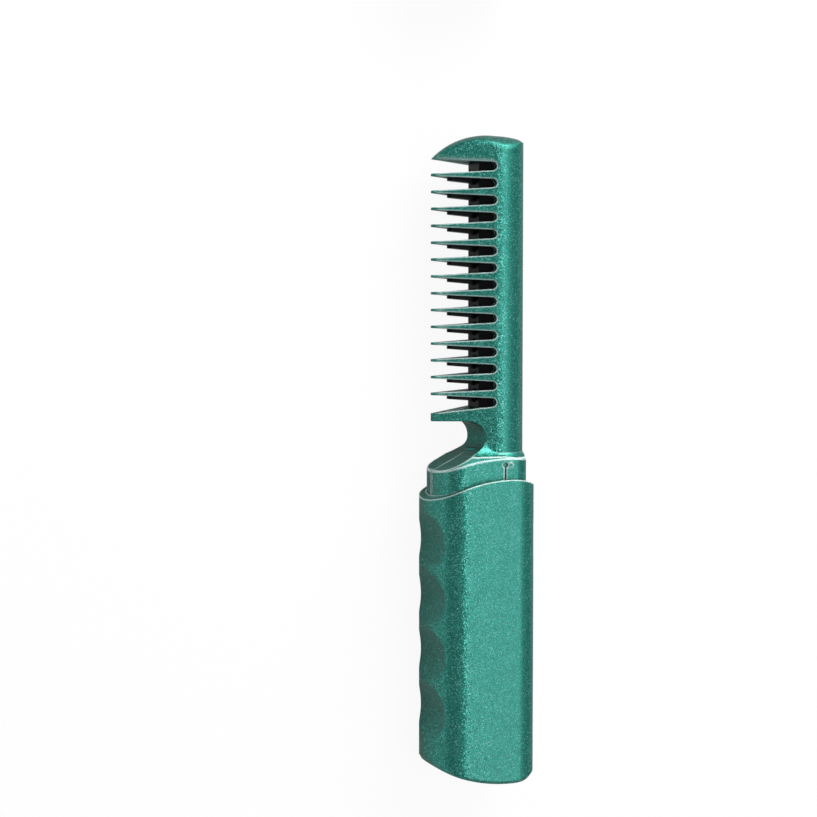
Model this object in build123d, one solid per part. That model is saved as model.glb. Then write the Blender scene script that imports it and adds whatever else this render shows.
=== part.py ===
from build123d import *
import os
from math import asin, atan2, cos, hypot, sin, sqrt, tan

# Cordless hot comb with a pull-off cap.
#
# The pieces are drawn in the comb's own frame, in millimetres:
#   Y is the distance from the lowest point of the base, towards the comb's tip,
#   X runs from the teeth (-X) to the spine, the display and the button (+X),
#   Z is measured from the mid-plane in which the two comb shells meet.
# place() then lays the comb on its flat side: the resting face is at Z = 0, with the
# origin on that face. The cap is drawn closed and stored pulled off, CAP_TRAVEL away.

# ---------------------------------------------------------------- body section
DEPTH = 33.6                  # teeth side to spine side
THICKNESS = 24.8              # flat side to flat side
END_RADIUS = 22.0             # gentle bulge of the teeth side and of the spine side
CORNER_RADIUS = 7.0
REST_FACE_FROM_BASE = 45.0    # where the origin lies on the handle's flat side
LENGTH = 198.0                # capped comb, base to cap end
CAP_END_WALL = 2.4
HEAD_CAP_GAP = 2.7            # between the comb's head and the closed cap's end

# ---------------------------------------------------------------- cell, and what lies round it
WALL = 2.2
GRIP_WALL = 4.0               # behind the finger scoops
BOARD_DEPTH = 9.9             # from the spine side to the main board's seat
CHASSIS_WEB = 0.9             # between the cell and the main board
CHASSIS_SIDE_FIT = 0.2
CHASSIS_CHEEK = 0.8           # beside the cell
CELL_SIDE_GAP = 0.4           # between the cell and the grip's wall
CHASSIS_WEB_X = DEPTH / 2 - BOARD_DEPTH  # the main board lies on this face
CELL_ROOM_X = CHASSIS_WEB_X - CHASSIS_WEB + DEPTH / 2 - GRIP_WALL - CELL_SIDE_GAP
CELL_ROOM_Z = THICKNESS - 2 * (WALL + CHASSIS_SIDE_FIT + CHASSIS_CHEEK)
CELL_RADIUS = min(CELL_ROOM_X, CELL_ROOM_Z) / 2
CELL_X = -DEPTH / 2 + GRIP_WALL + CELL_SIDE_GAP + CELL_RADIUS
CELL_LENGTH = 65.0
CELL_BOTTOM = 9.9
CELL_FIT = 0.1
TAB = 0.3
TAB_HALF_WIDTH = 3.0
TAB_REACH = 4.0               # past the cell's axis
TAB_SLOT_FIT = 0.2
FOAM = 2.0
FOAM_WIDTH = 11.0
CHASSIS_ROOF = 2.0
CHASSIS_COLLAR_GAP = 1.8
CHASSIS_TOP = CELL_BOTTOM + CELL_LENGTH + TAB + FOAM
COLLAR_BOTTOM = CHASSIS_TOP + CHASSIS_ROOF + CHASSIS_COLLAR_GAP

# ---------------------------------------------------------------- handle sleeve
BASE_LOW_X = 7.0              # the lowest point of the base lies towards the spine
BASE_TEETH_RADIUS = 48.0
BASE_SPINE_RADIUS = 18.0
BASE_EDGE_BEVEL = 0.9
RIM_PEAK_X = 6.5
RIM_OVER_COLLAR_BOTTOM = 10.0
RIM_TEETH_DROP = 6.1
RIM_SPINE_DROP = 2.8
RIM_PEAK = COLLAR_BOTTOM + RIM_OVER_COLLAR_BOTTOM  # height of the rim at its highest point
RIM_TEETH_SIDE = RIM_PEAK - RIM_TEETH_DROP
RIM_SPINE_SIDE = RIM_PEAK - RIM_SPINE_DROP
SCOOP_PITCH = 16.9
SCOOP_RIM_GAP = 3.7
SCOOP_TOP_RIDGE = RIM_TEETH_SIDE - SCOOP_RIM_GAP  # the ridge above the first scoop
SCOOP_LOWEST = 12.0           # the scoops end above this height
SCOOP_COUNT = int((SCOOP_TOP_RIDGE - SCOOP_LOWEST) / SCOOP_PITCH)
SCOOP_DEPTH = 3.0
SCOOP_VALLEY_SHARE = 0.55     # of the pitch, from the ridge above to the valley
SCOOP_LAND = 0.4              # untouched strip left on each ridge

# ---------------------------------------------------------------- collar and neck
COLLAR_INSET = 2.3            # from the sleeve's outside to the collar's outside
COLLAR_WALL = 2.0
COLLAR_FIT = 0.1              # collar in the sleeve's mouth
COLLAR_HOLLOW = 8.0
COLLAR_OVER_RIM = 6.0
COLLAR_TEETH_DROP = 3.9
COLLAR_SPINE_DROP = 0.5
COLLAR_ROOF = COLLAR_BOTTOM + COLLAR_HOLLOW  # top of the hollow in the collar
COLLAR_PEAK = RIM_PEAK + COLLAR_OVER_RIM
COLLAR_TEETH_SIDE = COLLAR_PEAK - COLLAR_TEETH_DROP
COLLAR_SPINE_SIDE = COLLAR_PEAK - COLLAR_SPINE_DROP
FOOT_STEP = 0.25              # ledge between the collar's edge and the neck's foot
FOOT_SIDE = 7.0               # half width of the neck's foot at its top
FOOT_SIDE_COVE = 5.5          # cove from the collar's top to the neck's sides
FOOT_REAR_COVE = 3.0          # the same, round the spine
NOTCH_WAIST_X = 0.1
NOTCH_WAIST_RISE = 6.2        # above the collar's peak
NOTCH_ROOF_X = -4.9           # where the guard's level underside turns into the notch
NOTCH_HEEL_X = -1.8
NOTCH_HEEL_RISE = 2.9
NOTCH_RAMP_X = -13.6
NOTCH_RAMP_DROP = 3.3
NOTCH_WAIST = (NOTCH_WAIST_X, COLLAR_PEAK + NOTCH_WAIST_RISE)  # deepest point of the notch
NOTCH_HEEL = (NOTCH_HEEL_X, COLLAR_PEAK + NOTCH_HEEL_RISE)  # its round meets the ramp here
NOTCH_RAMP_END = (NOTCH_RAMP_X, COLLAR_PEAK - NOTCH_RAMP_DROP)
SLIT_X = 5.1
SLIT_WIDTH = 0.6
SLIT_DEPTH = 1.0
SLIT_PEAK_GAP = 1.8
SLIT_UNDER_ROOF = 2.0
SLIT_TOP = COLLAR_PEAK - SLIT_PEAK_GAP
SLIT_BOTTOM = COLLAR_ROOF - SLIT_UNDER_ROOF
SLIT_EYE_RADIUS = 0.85
DETENT_X = 6.9
DETENT_ROOT = 0.5             # how far it reaches into the collar
DETENT_RADIUS = 0.8
DETENT_PROUD = 0.12
PARTING_GROOVE = (0.9, 0.4)   # width, depth

# ---------------------------------------------------------------- comb shells
SPINE_AXIS_X = 5.6
SPINE_RADIUS = 8.75
TOOTH_TIP_X = -14.4
TOOTH_TIP_HALF = 0.8          # half the comb's thickness at the tooth tips
LOWER_GUARD_RISE = 11.1       # above the collar's peak
LOWER_GUARD_TIP = 2.2
LOWER_GUARD_BOTTOM = COLLAR_PEAK + LOWER_GUARD_RISE
LOWER_GUARD_TIP_TOP = LOWER_GUARD_BOTTOM + LOWER_GUARD_TIP
HEAD_PEAK_X = 4.8
HEAD_TIP_DROP = 7.5
HEAD_SHOULDER_X = -6.6
HEAD_SHOULDER_DROP = 2.0
HEAD_PEAK = LENGTH - CAP_END_WALL - HEAD_CAP_GAP
HEAD_TIP_HEIGHT = HEAD_PEAK - HEAD_TIP_DROP
HEAD_SHOULDER = (HEAD_SHOULDER_X, HEAD_PEAK - HEAD_SHOULDER_DROP)  # on the head's long arc
HEAD_MARGIN = 0.5             # how far the head is drawn past the comb before it is trimmed
TOOTH_PITCH = 4.97
TOOTH_TIP_THICKNESS = 0.6
FIRST_TOOTH_RISE = 8.1
FIRST_TOOTH = LOWER_GUARD_BOTTOM + FIRST_TOOTH_RISE
TOOTH_COUNT = int((HEAD_TIP_HEIGHT + TOOTH_TIP_THICKNESS - FIRST_TOOTH) / TOOTH_PITCH)
SLOT_HEIGHT = 2.6             # at the root of the teeth
SLOT_END_X = 3.0
HEAD_BACK_RADIUS = 40.0
HEAD_BACK_CORNER = 4.2
HEAD_DOME_RADIUS = 12.5       # the head is domed across its thickness

# ---------------------------------------------------------------- heater
SHELL_WALL = 2.1              # comb shell beside the heater
HEATER_CLEARANCE = 0.3
HEATER_TIP_X = -9.4
HEATER_FRONT_X = -1.0         # front of the wedge behind the heated teeth
HEATER_BACK_X = 9.9
HEATER_HALF_THICKNESS = 1.2   # of the heated teeth
HEATER_TOOTH = 3.4            # height of a heated tooth at its root
HEATER_TOOTH_TIP = 2.0
HEATER_TIP_BEVEL = 0.7
HEATER_DROP = 0.5             # the heated teeth sit a little below the guard teeth
HEATER_RISE = 2.9             # above the lower guard's underside
HEATER_HEAD_GAP = 7.3
HEATER_BOTTOM = LOWER_GUARD_BOTTOM + HEATER_RISE
HEATER_TOP = HEAD_PEAK - HEATER_HEAD_GAP
CHANNEL_X = (5.3, 8.9)
CHANNEL_HALF = 3.1
FILM = 0.2
ELECTRODE = 0.4
ELECTRODE_SIDE_GAP = 0.2
ELECTRODE_TAIL = 0.2          # below the heater, where the leads are welded on
ELECTRODE_TOP_GAP = 1.0
PTC_COUNT = 3
PTC_GAP = 1.0
PTC_SIDE_GAP = 0.3
PTC_END_GAP = 2.0
PROBE_PLACE = (6.2, 4.7)      # (X, Z) of the temperature sensor
PROBE_RADIUS = 0.8
PROBE_LENGTH = 6.0
PROBE_INSIDE = 4.0            # how far it reaches into the heater
LEAD_RADIUS = 0.6
LEAD_BEND = 6.0
LEAD_TOP_Z = -1.5
LEAD_LIFT = 0.25              # solder under the end of a lead
LEAD_SIDE_GAP = 0.2
LEAD_TURN = 3.0               # above the collar's roof, where a lead bends
LEAD_END_GAP = 1.0            # from the board's edge to a lead's end
LEAD_BOARD_Z = 8.2            # across, where they end beside the display module
LEAD_BORE_X = (3.9, 9.8)
LEAD_BORE_HALF = 5.6

# ---------------------------------------------------------------- display and button
LENS_DROP = 8.0               # below the collar
LENS_HEIGHT = COLLAR_BOTTOM - LENS_DROP
LENS_SIZE = (13.4, 17.6)      # along Y, along Z
LENS_CORNER = 2.5
LENS_THICKNESS = 1.6
LENS_LEDGE = 1.3
LENS_FIT = 0.05
MODULE_SIZE = (12.0, 13.0, 3.6)
LENS_BUTTON_PITCH = 21.0
BUTTON_HEIGHT = LENS_HEIGHT - LENS_BUTTON_PITCH
BUTTON_HOLE = (17.3, 9.6)     # along Y, along Z
BUTTON_GAP = 0.35
BUTTON_FLANGE = 1.5
BUTTON_FLANGE_THICKNESS = 1.0
BUTTON_SEAT_DEPTH = 4.05      # from the spine side
BUTTON_SEAT_X = DEPTH / 2 - BUTTON_SEAT_DEPTH
BUTTON_SEAT_GAP = 0.15
BUTTON_EDGE_BEVEL = 0.3
BUTTON_TRAVEL = 0.5
SWITCH_SIZE = (6.0, 6.0, 2.8)
PLUNGER_RADIUS = 1.6
PLUNGER_GAP = 0.15
PLUNGER_OVERLAP = 1.2

# ---------------------------------------------------------------- inside the handle
CHASSIS_FLOOR = 1.4
TONGUE_HALF = 1.5
TONGUE_X = (-11.0, 4.8)
TONGUE_GAP = 0.2
BOARD = 1.2
BOARD_HALF_WIDTH = 9.2
BOARD_END_GAP = 0.6
BOARD_CORNER = 3.0            # bevel of its two corners beside the socket
SCREW_HOLE_FIT = 0.1
SCREW_END_GAP = 0.2
BOARD_SCREW_LENGTH = 3.4
BOARD_SCREW_RADIUS = 0.8
BOARD_SCREW_HEAD = (1.5, 0.9)
BOARD_SCREW_ASIDE = 7.4
BOARD_SCREW_LOW = 16.0
LENS_SCREW_PITCH = 10.0
BOARD_SCREW_HIGH = LENS_HEIGHT - LENS_SCREW_PITCH
BOARD_SCREW_PLACES = [(BOARD_SCREW_LOW, -BOARD_SCREW_ASIDE), (BOARD_SCREW_HIGH, BOARD_SCREW_ASIDE)]
CHARGER = (14.0, -3.6, 5.0, 4.0, 1.2)  # (height, across, long, wide, tall)
CONNECTOR = (14.0, 3.4, 4.0, 5.0, 1.0)
COIL = (26.0, 0.0, 6.0, 6.0, 2.6)
CONTROLLER = (37.0, -3.0, 7.0, 5.0, 1.2)
SHELL_SCREW_RISE = 5.0        # above the collar's bottom
SHELL_SCREW_X = (-7.6, 1.4)
SHELL_SCREW_PLACES = [(x, COLLAR_BOTTOM + SHELL_SCREW_RISE) for x in SHELL_SCREW_X]
SHELL_SCREW_RADIUS = 1.0
SHELL_SCREW_HEAD = (1.8, 1.2)
SHELL_SCREW_HEAD_FIT = 0.2
SHELL_SCREW_SUNK = 0.4        # head below the collar's face
SHELL_BOSS = 5.2

# ---------------------------------------------------------------- charging socket
SOCKET_SIZE = (8.94, 3.2)
SOCKET_LENGTH = 7.3
SOCKET_WALL = 0.3
SOCKET_FIT = 0.15
SOCKET_RECESS = 0.5
SOCKET_BACK_WALL = 1.0
SOCKET_TONGUE = (6.7, 0.7, 5.4)

# ---------------------------------------------------------------- cap
CAP_WALL = 2.05
CAP_END_BEVEL = 1.2
CAP_SEAM = 0.15
CAP_TRAVEL = 155.0

FAR = 60.0                    # reach of cutting tools past the part
PAST = 1.0                    # how far a cut or a trimmed form runs past a face


# ---------------------------------------------------------------- drawing helpers
def arc_radius(run, drop):
    """Radius of an arc that starts level and falls by drop over run."""
    return (run ** 2 + drop ** 2) / (2 * drop)


def arc_fall(radius, run):
    """How far an arc that starts level has fallen after run."""
    return radius - sqrt(radius ** 2 - run ** 2)


def closed_face(*edges):
    """A face inside edges that follow each other."""
    return make_face(Curve() + list(edges))


def along_y(face, low, high):
    """A section drawn as (X, Z), extruded from height low to high."""
    return extrude(Pos(0, low, 0) * (Plane.XZ * face), amount=high - low, dir=(0, 1, 0))


def along_z(face, low, high):
    """A side profile drawn as (X, Y), extruded from low to high across the comb."""
    return extrude(Pos(0, 0, low) * face, amount=high - low)


def across(face):
    """A side profile extruded right through the comb."""
    return along_z(face, -FAR, FAR)


def along_x(face, low, high):
    """A front profile drawn as (Y, Z), extruded from low to high towards the spine."""
    return extrude(Plane.YZ.offset(low) * face, amount=high - low)


def block(x, y, z):
    """A box between the pairs of limits x, y and z."""
    size = [pair[1] - pair[0] for pair in (x, y, z)]
    centre = [(pair[1] + pair[0]) / 2 for pair in (x, y, z)]
    return Pos(*centre) * Box(*size)


def rod_z(x, y, radius, low, high):
    """A cylinder along Z."""
    return Pos(x, y, (low + high) / 2) * Cylinder(radius, high - low)


def rod_x(y, z, radius, low, high):
    """A cylinder along X."""
    return Pos((low + high) / 2, y, z) * Rot(0, 90, 0) * Cylinder(radius, high - low)


def rod_y(x, z, radius, low, high):
    """A cylinder along Y."""
    return Pos(x, (low + high) / 2, z) * Rot(90, 0, 0) * Cylinder(radius, high - low)


def place(shape, pulled=0.0):
    """Lay a piece on the comb's resting face, pulled along the comb by the given amount."""
    return Pos(0, pulled - REST_FACE_FROM_BASE, THICKNESS / 2) * shape


# ---------------------------------------------------------------- shared outlines
def body_section(inset=0.0):
    """Outer section of the handle and the cap, moved inwards by inset."""
    half = THICKNESS / 2 - inset
    end = DEPTH / 2 - inset
    side = end - arc_fall(END_RADIUS - inset, half)
    face = closed_face(
        Line((-side, half), (side, half)),
        ThreePointArc((side, half), (end, 0), (side, -half)),
        Line((side, -half), (-side, -half)),
        ThreePointArc((-side, -half), (-end, 0), (-side, half)),
    )
    return fillet(face.vertices(), CORNER_RADIUS - inset)


def arch(peak_x, peak, teeth_side, teeth_x, spine_side, spine_x):
    """Everything below an arch that peaks at (peak_x, peak) and falls to both sides."""
    teeth_radius = arc_radius(peak_x - teeth_x, peak - teeth_side)
    spine_radius = arc_radius(spine_x - peak_x, peak - spine_side)
    out = DEPTH / 2 + PAST

    def height(x):
        radius = teeth_radius if x < peak_x else spine_radius
        return peak - arc_fall(radius, abs(x - peak_x))

    middle_left = (peak_x - out) / 2
    middle_right = (peak_x + out) / 2
    return closed_face(
        Line((-out, -FAR), (-out, height(-out))),
        ThreePointArc((-out, height(-out)), (middle_left, height(middle_left)), (peak_x, peak)),
        ThreePointArc((peak_x, peak), (middle_right, height(middle_right)), (out, height(out))),
        Line((out, height(out)), (out, -FAR)),
        Line((out, -FAR), (-out, -FAR)),
    )


def below_rim(gap=0.0):
    """Side profile of everything below the sleeve's rim, or a gap above it."""
    return arch(
        RIM_PEAK_X, RIM_PEAK + gap, RIM_TEETH_SIDE + gap, -DEPTH / 2, RIM_SPINE_SIDE + gap, DEPTH / 2
    )


def below_collar_top():
    """Side profile of everything below the collar's top edge."""
    end = DEPTH / 2 - COLLAR_INSET
    return arch(RIM_PEAK_X, COLLAR_PEAK, COLLAR_TEETH_SIDE, -end, COLLAR_SPINE_SIDE, end)


def above_base(inset=0.0):
    """Side profile of everything above the domed base, moved inwards by inset."""
    teeth_radius = BASE_TEETH_RADIUS - inset
    spine_radius = BASE_SPINE_RADIUS - inset
    out = DEPTH / 2 + PAST - inset
    left = inset + arc_fall(teeth_radius, BASE_LOW_X + out)
    right = inset + arc_fall(spine_radius, out - BASE_LOW_X)
    middle_left = (BASE_LOW_X - out) / 2
    middle_right = (BASE_LOW_X + out) / 2
    middle_left_height = inset + arc_fall(teeth_radius, BASE_LOW_X - middle_left)
    middle_right_height = inset + arc_fall(spine_radius, middle_right - BASE_LOW_X)
    return closed_face(
        ThreePointArc((-out, left), (middle_left, middle_left_height), (BASE_LOW_X, inset)),
        ThreePointArc((BASE_LOW_X, inset), (middle_right, middle_right_height), (out, right)),
        Line((out, right), (out, LENGTH)),
        Line((out, LENGTH), (-out, LENGTH)),
        Line((-out, LENGTH), (-out, left)),
    )


def comb_lean():
    """Angle between the comb's mid-plane and its flat flanks."""
    run = SPINE_AXIS_X - TOOTH_TIP_X
    return asin(SPINE_RADIUS / hypot(run, TOOTH_TIP_HALF)) - atan2(TOOTH_TIP_HALF, run)


def spine_tangent(inset=0.0):
    """(X, Z) at which the flank leaves the round spine, moved inwards by inset."""
    radius = SPINE_RADIUS - inset
    return SPINE_AXIS_X - radius * sin(comb_lean()), radius * cos(comb_lean())


def comb_section():
    """Teardrop section of the comb shells: round spine, tapering to the tooth tips."""
    x, z = spine_tangent()
    return closed_face(
        ThreePointArc((x, z), (SPINE_AXIS_X + SPINE_RADIUS, 0), (x, -z)),
        Line((x, -z), (TOOTH_TIP_X, -TOOTH_TIP_HALF)),
        Line((TOOTH_TIP_X, -TOOTH_TIP_HALF), (TOOTH_TIP_X, TOOTH_TIP_HALF)),
        Line((TOOTH_TIP_X, TOOTH_TIP_HALF), (x, z)),
    )


def wedge_section(inset, front_x, back_x):
    """The comb's section moved inwards by inset, between two planes across it."""
    x, z = spine_tangent(inset)
    front_z = z - (x - front_x) * tan(comb_lean())
    reach = SPINE_AXIS_X + SPINE_RADIUS - inset
    face = closed_face(
        ThreePointArc((x, z), (reach, 0), (x, -z)),
        Line((x, -z), (front_x, -front_z)),
        Line((front_x, -front_z), (front_x, front_z)),
        Line((front_x, front_z), (x, z)),
    )
    limit = Pos((front_x + back_x) / 2, 0) * Rectangle(back_x - front_x, 2 * FAR)
    return face & limit


def lens_outline(shrink=0.0):
    """Rounded rectangle of the display lens."""
    return Pos(LENS_HEIGHT, 0) * RectangleRounded(
        LENS_SIZE[0] - 2 * shrink, LENS_SIZE[1] - 2 * shrink, LENS_CORNER - shrink
    )


def button_outline(grow=0.0):
    """Ellipse of the power button's hole."""
    return Pos(BUTTON_HEIGHT, 0) * Ellipse(BUTTON_HOLE[0] / 2 + grow, BUTTON_HOLE[1] / 2 + grow)


def socket_outline(grow=0.0):
    """Flat-sided oval of the charging socket, drawn as (X, Z)."""
    height = SOCKET_SIZE[1] + 2 * grow
    centre = CHASSIS_WEB_X - SOCKET_SIZE[1] / 2
    return Pos(centre, 0) * Rot(0, 0, 90) * SlotOverall(SOCKET_SIZE[0] + 2 * grow, height)


# ---------------------------------------------------------------- handle
def finger_scoop(top_ridge):
    """Side profile of one finger scoop: two arcs that meet level in the valley."""
    span = SCOOP_PITCH - SCOOP_LAND
    upper = span * SCOOP_VALLEY_SHARE
    lower = span - upper
    valley_y = top_ridge - SCOOP_LAND / 2 - upper
    valley_x = -DEPTH / 2 + SCOOP_DEPTH
    out = SCOOP_DEPTH + PAST
    reach = []
    for run in (upper, lower):
        radius = arc_radius(run, SCOOP_DEPTH)
        reach.append([
            (out, sqrt(radius ** 2 - (radius - out) ** 2)),
            (out / 4, sqrt(radius ** 2 - (radius - out / 4) ** 2)),
        ])
    top, top_middle = [(valley_x - dx, valley_y + dy) for dx, dy in reach[0]]
    bottom, bottom_middle = [(valley_x - dx, valley_y - dy) for dx, dy in reach[1]]
    return closed_face(
        ThreePointArc(top, top_middle, (valley_x, valley_y)),
        ThreePointArc((valley_x, valley_y), bottom_middle, bottom),
        Line(bottom, top),
    )


def sleeve_block():
    """The handle's outer form, with its domed base, arched rim and finger scoops."""
    form = along_y(body_section(), -PAST, RIM_PEAK + PAST)
    form = form & across(above_base()) & across(below_rim())
    base_edges = form.edges().filter_by_position(
        Axis.Y, -PAST, arc_fall(BASE_TEETH_RADIUS, BASE_LOW_X + DEPTH / 2) + PAST
    )
    form = chamfer(base_edges, BASE_EDGE_BEVEL)
    for index in range(SCOOP_COUNT):
        form = form - across(finger_scoop(SCOOP_TOP_RIDGE - index * SCOOP_PITCH))
    return form


def sleeve_hollow():
    """Room for the chassis, and the mouth in which the collar sits."""
    room = along_y(body_section(WALL), 0, LENGTH) & across(above_base(WALL))
    room = room & block((-DEPTH / 2 + GRIP_WALL, DEPTH), (0, LENGTH), (-FAR, FAR))
    mouth = along_y(body_section(COLLAR_INSET - COLLAR_FIT), COLLAR_BOTTOM, LENGTH)
    return room + mouth


def handle_sleeve():
    """One-piece sleeve with the lens pocket, button hole and socket hole."""
    skin = along_y(body_section(LENS_THICKNESS), 0, LENGTH)
    lens_pocket = along_x(lens_outline(), 0, DEPTH) - skin
    lens_window = along_x(lens_outline(LENS_LEDGE), 0, DEPTH)
    button_hole = along_x(button_outline(), 0, DEPTH)
    button_seat = along_x(button_outline(BUTTON_FLANGE + BUTTON_GAP), 0, BUTTON_SEAT_X)
    socket_hole = along_y(socket_outline(SOCKET_FIT), -PAST, SOCKET_RECESS + SOCKET_LENGTH)
    sleeve = sleeve_block() - sleeve_hollow()
    return sleeve - [lens_pocket, lens_window, button_hole, button_seat, socket_hole]


def display_lens():
    """Dark window, flush with the sleeve and curved as it is."""
    skin = along_y(body_section(), 0, LENGTH) - along_y(body_section(LENS_THICKNESS), 0, LENGTH)
    return along_x(lens_outline(LENS_FIT), 0, DEPTH) & skin


def power_button():
    """Oval button, flush with the sleeve, with the flange that keeps it in."""
    seat = BUTTON_SEAT_X - BUTTON_SEAT_GAP
    head = along_x(button_outline(-BUTTON_GAP), seat, DEPTH) & along_y(body_section(), 0, LENGTH)
    head = chamfer(head.faces().sort_by(Axis.X)[-1].edges(), BUTTON_EDGE_BEVEL)
    flange = along_x(button_outline(BUTTON_FLANGE), seat - BUTTON_FLANGE_THICKNESS, seat)
    return head + flange


# ---------------------------------------------------------------- comb shells
def notch_flank():
    """The notch's lower edge, from its deepest point down the ramp to the collar."""
    heel = TangentArc(NOTCH_WAIST, NOTCH_HEEL, tangent=(0, -1))
    ramp = TangentArc(NOTCH_HEEL, NOTCH_RAMP_END, tangent=heel % 1)
    return [heel, ramp, Line(NOTCH_RAMP_END, (-FAR, NOTCH_RAMP_END[1]))]


def notch_profile():
    """Side profile of the round notch between the collar and the lower guard."""
    return closed_face(
        Line((-FAR, LOWER_GUARD_BOTTOM), (NOTCH_ROOF_X, LOWER_GUARD_BOTTOM)),
        TangentArc(NOTCH_WAIST, (NOTCH_ROOF_X, LOWER_GUARD_BOTTOM), tangent=(0, 1)),
        *notch_flank(),
        Line((-FAR, NOTCH_RAMP_END[1]), (-FAR, LOWER_GUARD_BOTTOM)),
    )


def around_spine(face):
    """A side profile turned about the spine's axis."""
    return revolve(face, Axis((SPINE_AXIS_X, 0, 0), (0, 1, 0)), 360)


def foot_profile():
    """Side profile of the neck's foot: all that lies under the notch's lower edge."""
    return closed_face(
        *notch_flank(),
        Line((-FAR, NOTCH_RAMP_END[1]), (-FAR, COLLAR_ROOF)),
        Line((-FAR, COLLAR_ROOF), (SPINE_AXIS_X, COLLAR_ROOF)),
        Line((SPINE_AXIS_X, COLLAR_ROOF), (SPINE_AXIS_X, NOTCH_WAIST[1])),
        Line((SPINE_AXIS_X, NOTCH_WAIST[1]), NOTCH_WAIST),
    )


def cove_profile(inner, outer, radius):
    """(out, height) points of the cove between the collar's top and the neck."""
    top = COLLAR_PEAK + radius
    centre = inner + radius
    low = top - sqrt(radius ** 2 - (centre - outer) ** 2)
    turn = asin((top - low) / radius) / 2
    middle = (centre - radius * cos(turn), top - radius * sin(turn))
    return (inner, top), middle, (outer, low)


def neck_foot():
    """Solid that leads from the collar's top into the neck."""
    half = THICKNESS / 2 - COLLAR_INSET + FOOT_STEP
    top, middle, low = cove_profile(FOOT_SIDE, half, FOOT_SIDE_COVE)
    side = closed_face(
        Line((low[1], 0), (low[1], low[0])),
        ThreePointArc((low[1], low[0]), (middle[1], middle[0]), (top[1], top[0])),
        Line((top[1], top[0]), (NOTCH_WAIST[1], top[0])),
        Line((NOTCH_WAIST[1], top[0]), (NOTCH_WAIST[1], 0)),
        Line((NOTCH_WAIST[1], 0), (low[1], 0)),
    )
    side_half = along_x(side, -FAR, SPINE_AXIS_X)
    base = block((-FAR, SPINE_AXIS_X), (COLLAR_ROOF, low[1]), (-FAR, FAR))
    front = across(foot_profile()) & (side_half + mirror(side_half, Plane.XY) + base)
    top, middle, low = cove_profile(SPINE_RADIUS - FOOT_STEP, half, FOOT_REAR_COVE)
    rear = closed_face(
        Line((SPINE_AXIS_X, COLLAR_ROOF), (SPINE_AXIS_X + low[0], COLLAR_ROOF)),
        Line((SPINE_AXIS_X + low[0], COLLAR_ROOF), (SPINE_AXIS_X + low[0], low[1])),
        ThreePointArc(
            (SPINE_AXIS_X + low[0], low[1]),
            (SPINE_AXIS_X + middle[0], middle[1]),
            (SPINE_AXIS_X + top[0], top[1]),
        ),
        Line((SPINE_AXIS_X + top[0], top[1]), (SPINE_AXIS_X, top[1])),
        Line((SPINE_AXIS_X, top[1]), (SPINE_AXIS_X, COLLAR_ROOF)),
    )
    foot = front + around_spine(rear)
    return foot & along_y(body_section(COLLAR_INSET + FOOT_STEP), COLLAR_ROOF, NOTCH_WAIST[1])


def head_profile(axis_y):
    """Side profile of the comb's head above the axis of its dome."""
    left = TOOTH_TIP_X - HEAD_MARGIN
    right = SPINE_AXIS_X + SPINE_RADIUS + HEAD_MARGIN
    left_height = HEAD_TIP_HEIGHT - HEAD_MARGIN
    right_height = HEAD_PEAK - arc_fall(HEAD_BACK_RADIUS, right - HEAD_PEAK_X)
    middle_x = (HEAD_PEAK_X + right) / 2
    middle_y = HEAD_PEAK - arc_fall(HEAD_BACK_RADIUS, middle_x - HEAD_PEAK_X)
    face = closed_face(
        Line((left, axis_y), (left, left_height)),
        ThreePointArc((left, left_height), HEAD_SHOULDER, (HEAD_PEAK_X, HEAD_PEAK)),
        ThreePointArc((HEAD_PEAK_X, HEAD_PEAK), (middle_x, middle_y), (right, right_height)),
        Line((right, right_height), (right, axis_y)),
        Line((right, axis_y), (left, axis_y)),
    )
    corner = face.vertices().sort_by_distance((right, right_height))[0]
    return fillet(corner, HEAD_BACK_CORNER)


def tooth_slot(height, mouth_drop=0.0):
    """Side profile of one slot between teeth, with a round end; its lower lip may drop."""
    mouth = (TOOTH_PITCH - TOOTH_TIP_THICKNESS) / 2
    root = SLOT_HEIGHT / 2
    root_x = SLOT_END_X - root
    mouth_x = TOOTH_TIP_X - PAST
    return closed_face(
        Line((mouth_x, height + mouth), (root_x, height + root)),
        ThreePointArc((root_x, height + root), (SLOT_END_X, height), (root_x, height - root)),
        Line((root_x, height - root), (mouth_x, height - mouth - mouth_drop)),
        Line((mouth_x, height - mouth - mouth_drop), (mouth_x, height + mouth)),
    )


def slot_heights():
    """Heights of the slots, from the one above the lower guard upwards."""
    first = FIRST_TOOTH - TOOTH_PITCH / 2
    return [first + index * TOOTH_PITCH for index in range(TOOTH_COUNT + 1)]


def shell_hollows():
    """Room for the heater, its leads and the chassis tongue."""
    gap = HEATER_CLEARANCE
    tooth_half = HEATER_HALF_THICKNESS + gap
    heights = (HEATER_BOTTOM - gap, HEATER_TOP + gap)
    wedge = wedge_section(SHELL_WALL, HEATER_FRONT_X - gap, HEATER_BACK_X + gap)
    teeth_room = block((HEATER_TIP_X - gap, HEATER_FRONT_X), heights, (-tooth_half, tooth_half))
    lead_bore = block(LEAD_BORE_X, (COLLAR_ROOF - PAST, HEATER_BOTTOM), (-LEAD_BORE_HALF, LEAD_BORE_HALF))
    collar_room = along_y(body_section(COLLAR_INSET + COLLAR_WALL), COLLAR_BOTTOM - PAST, COLLAR_ROOF)
    return [along_y(wedge, *heights), teeth_room, lead_bore, collar_room]


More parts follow.
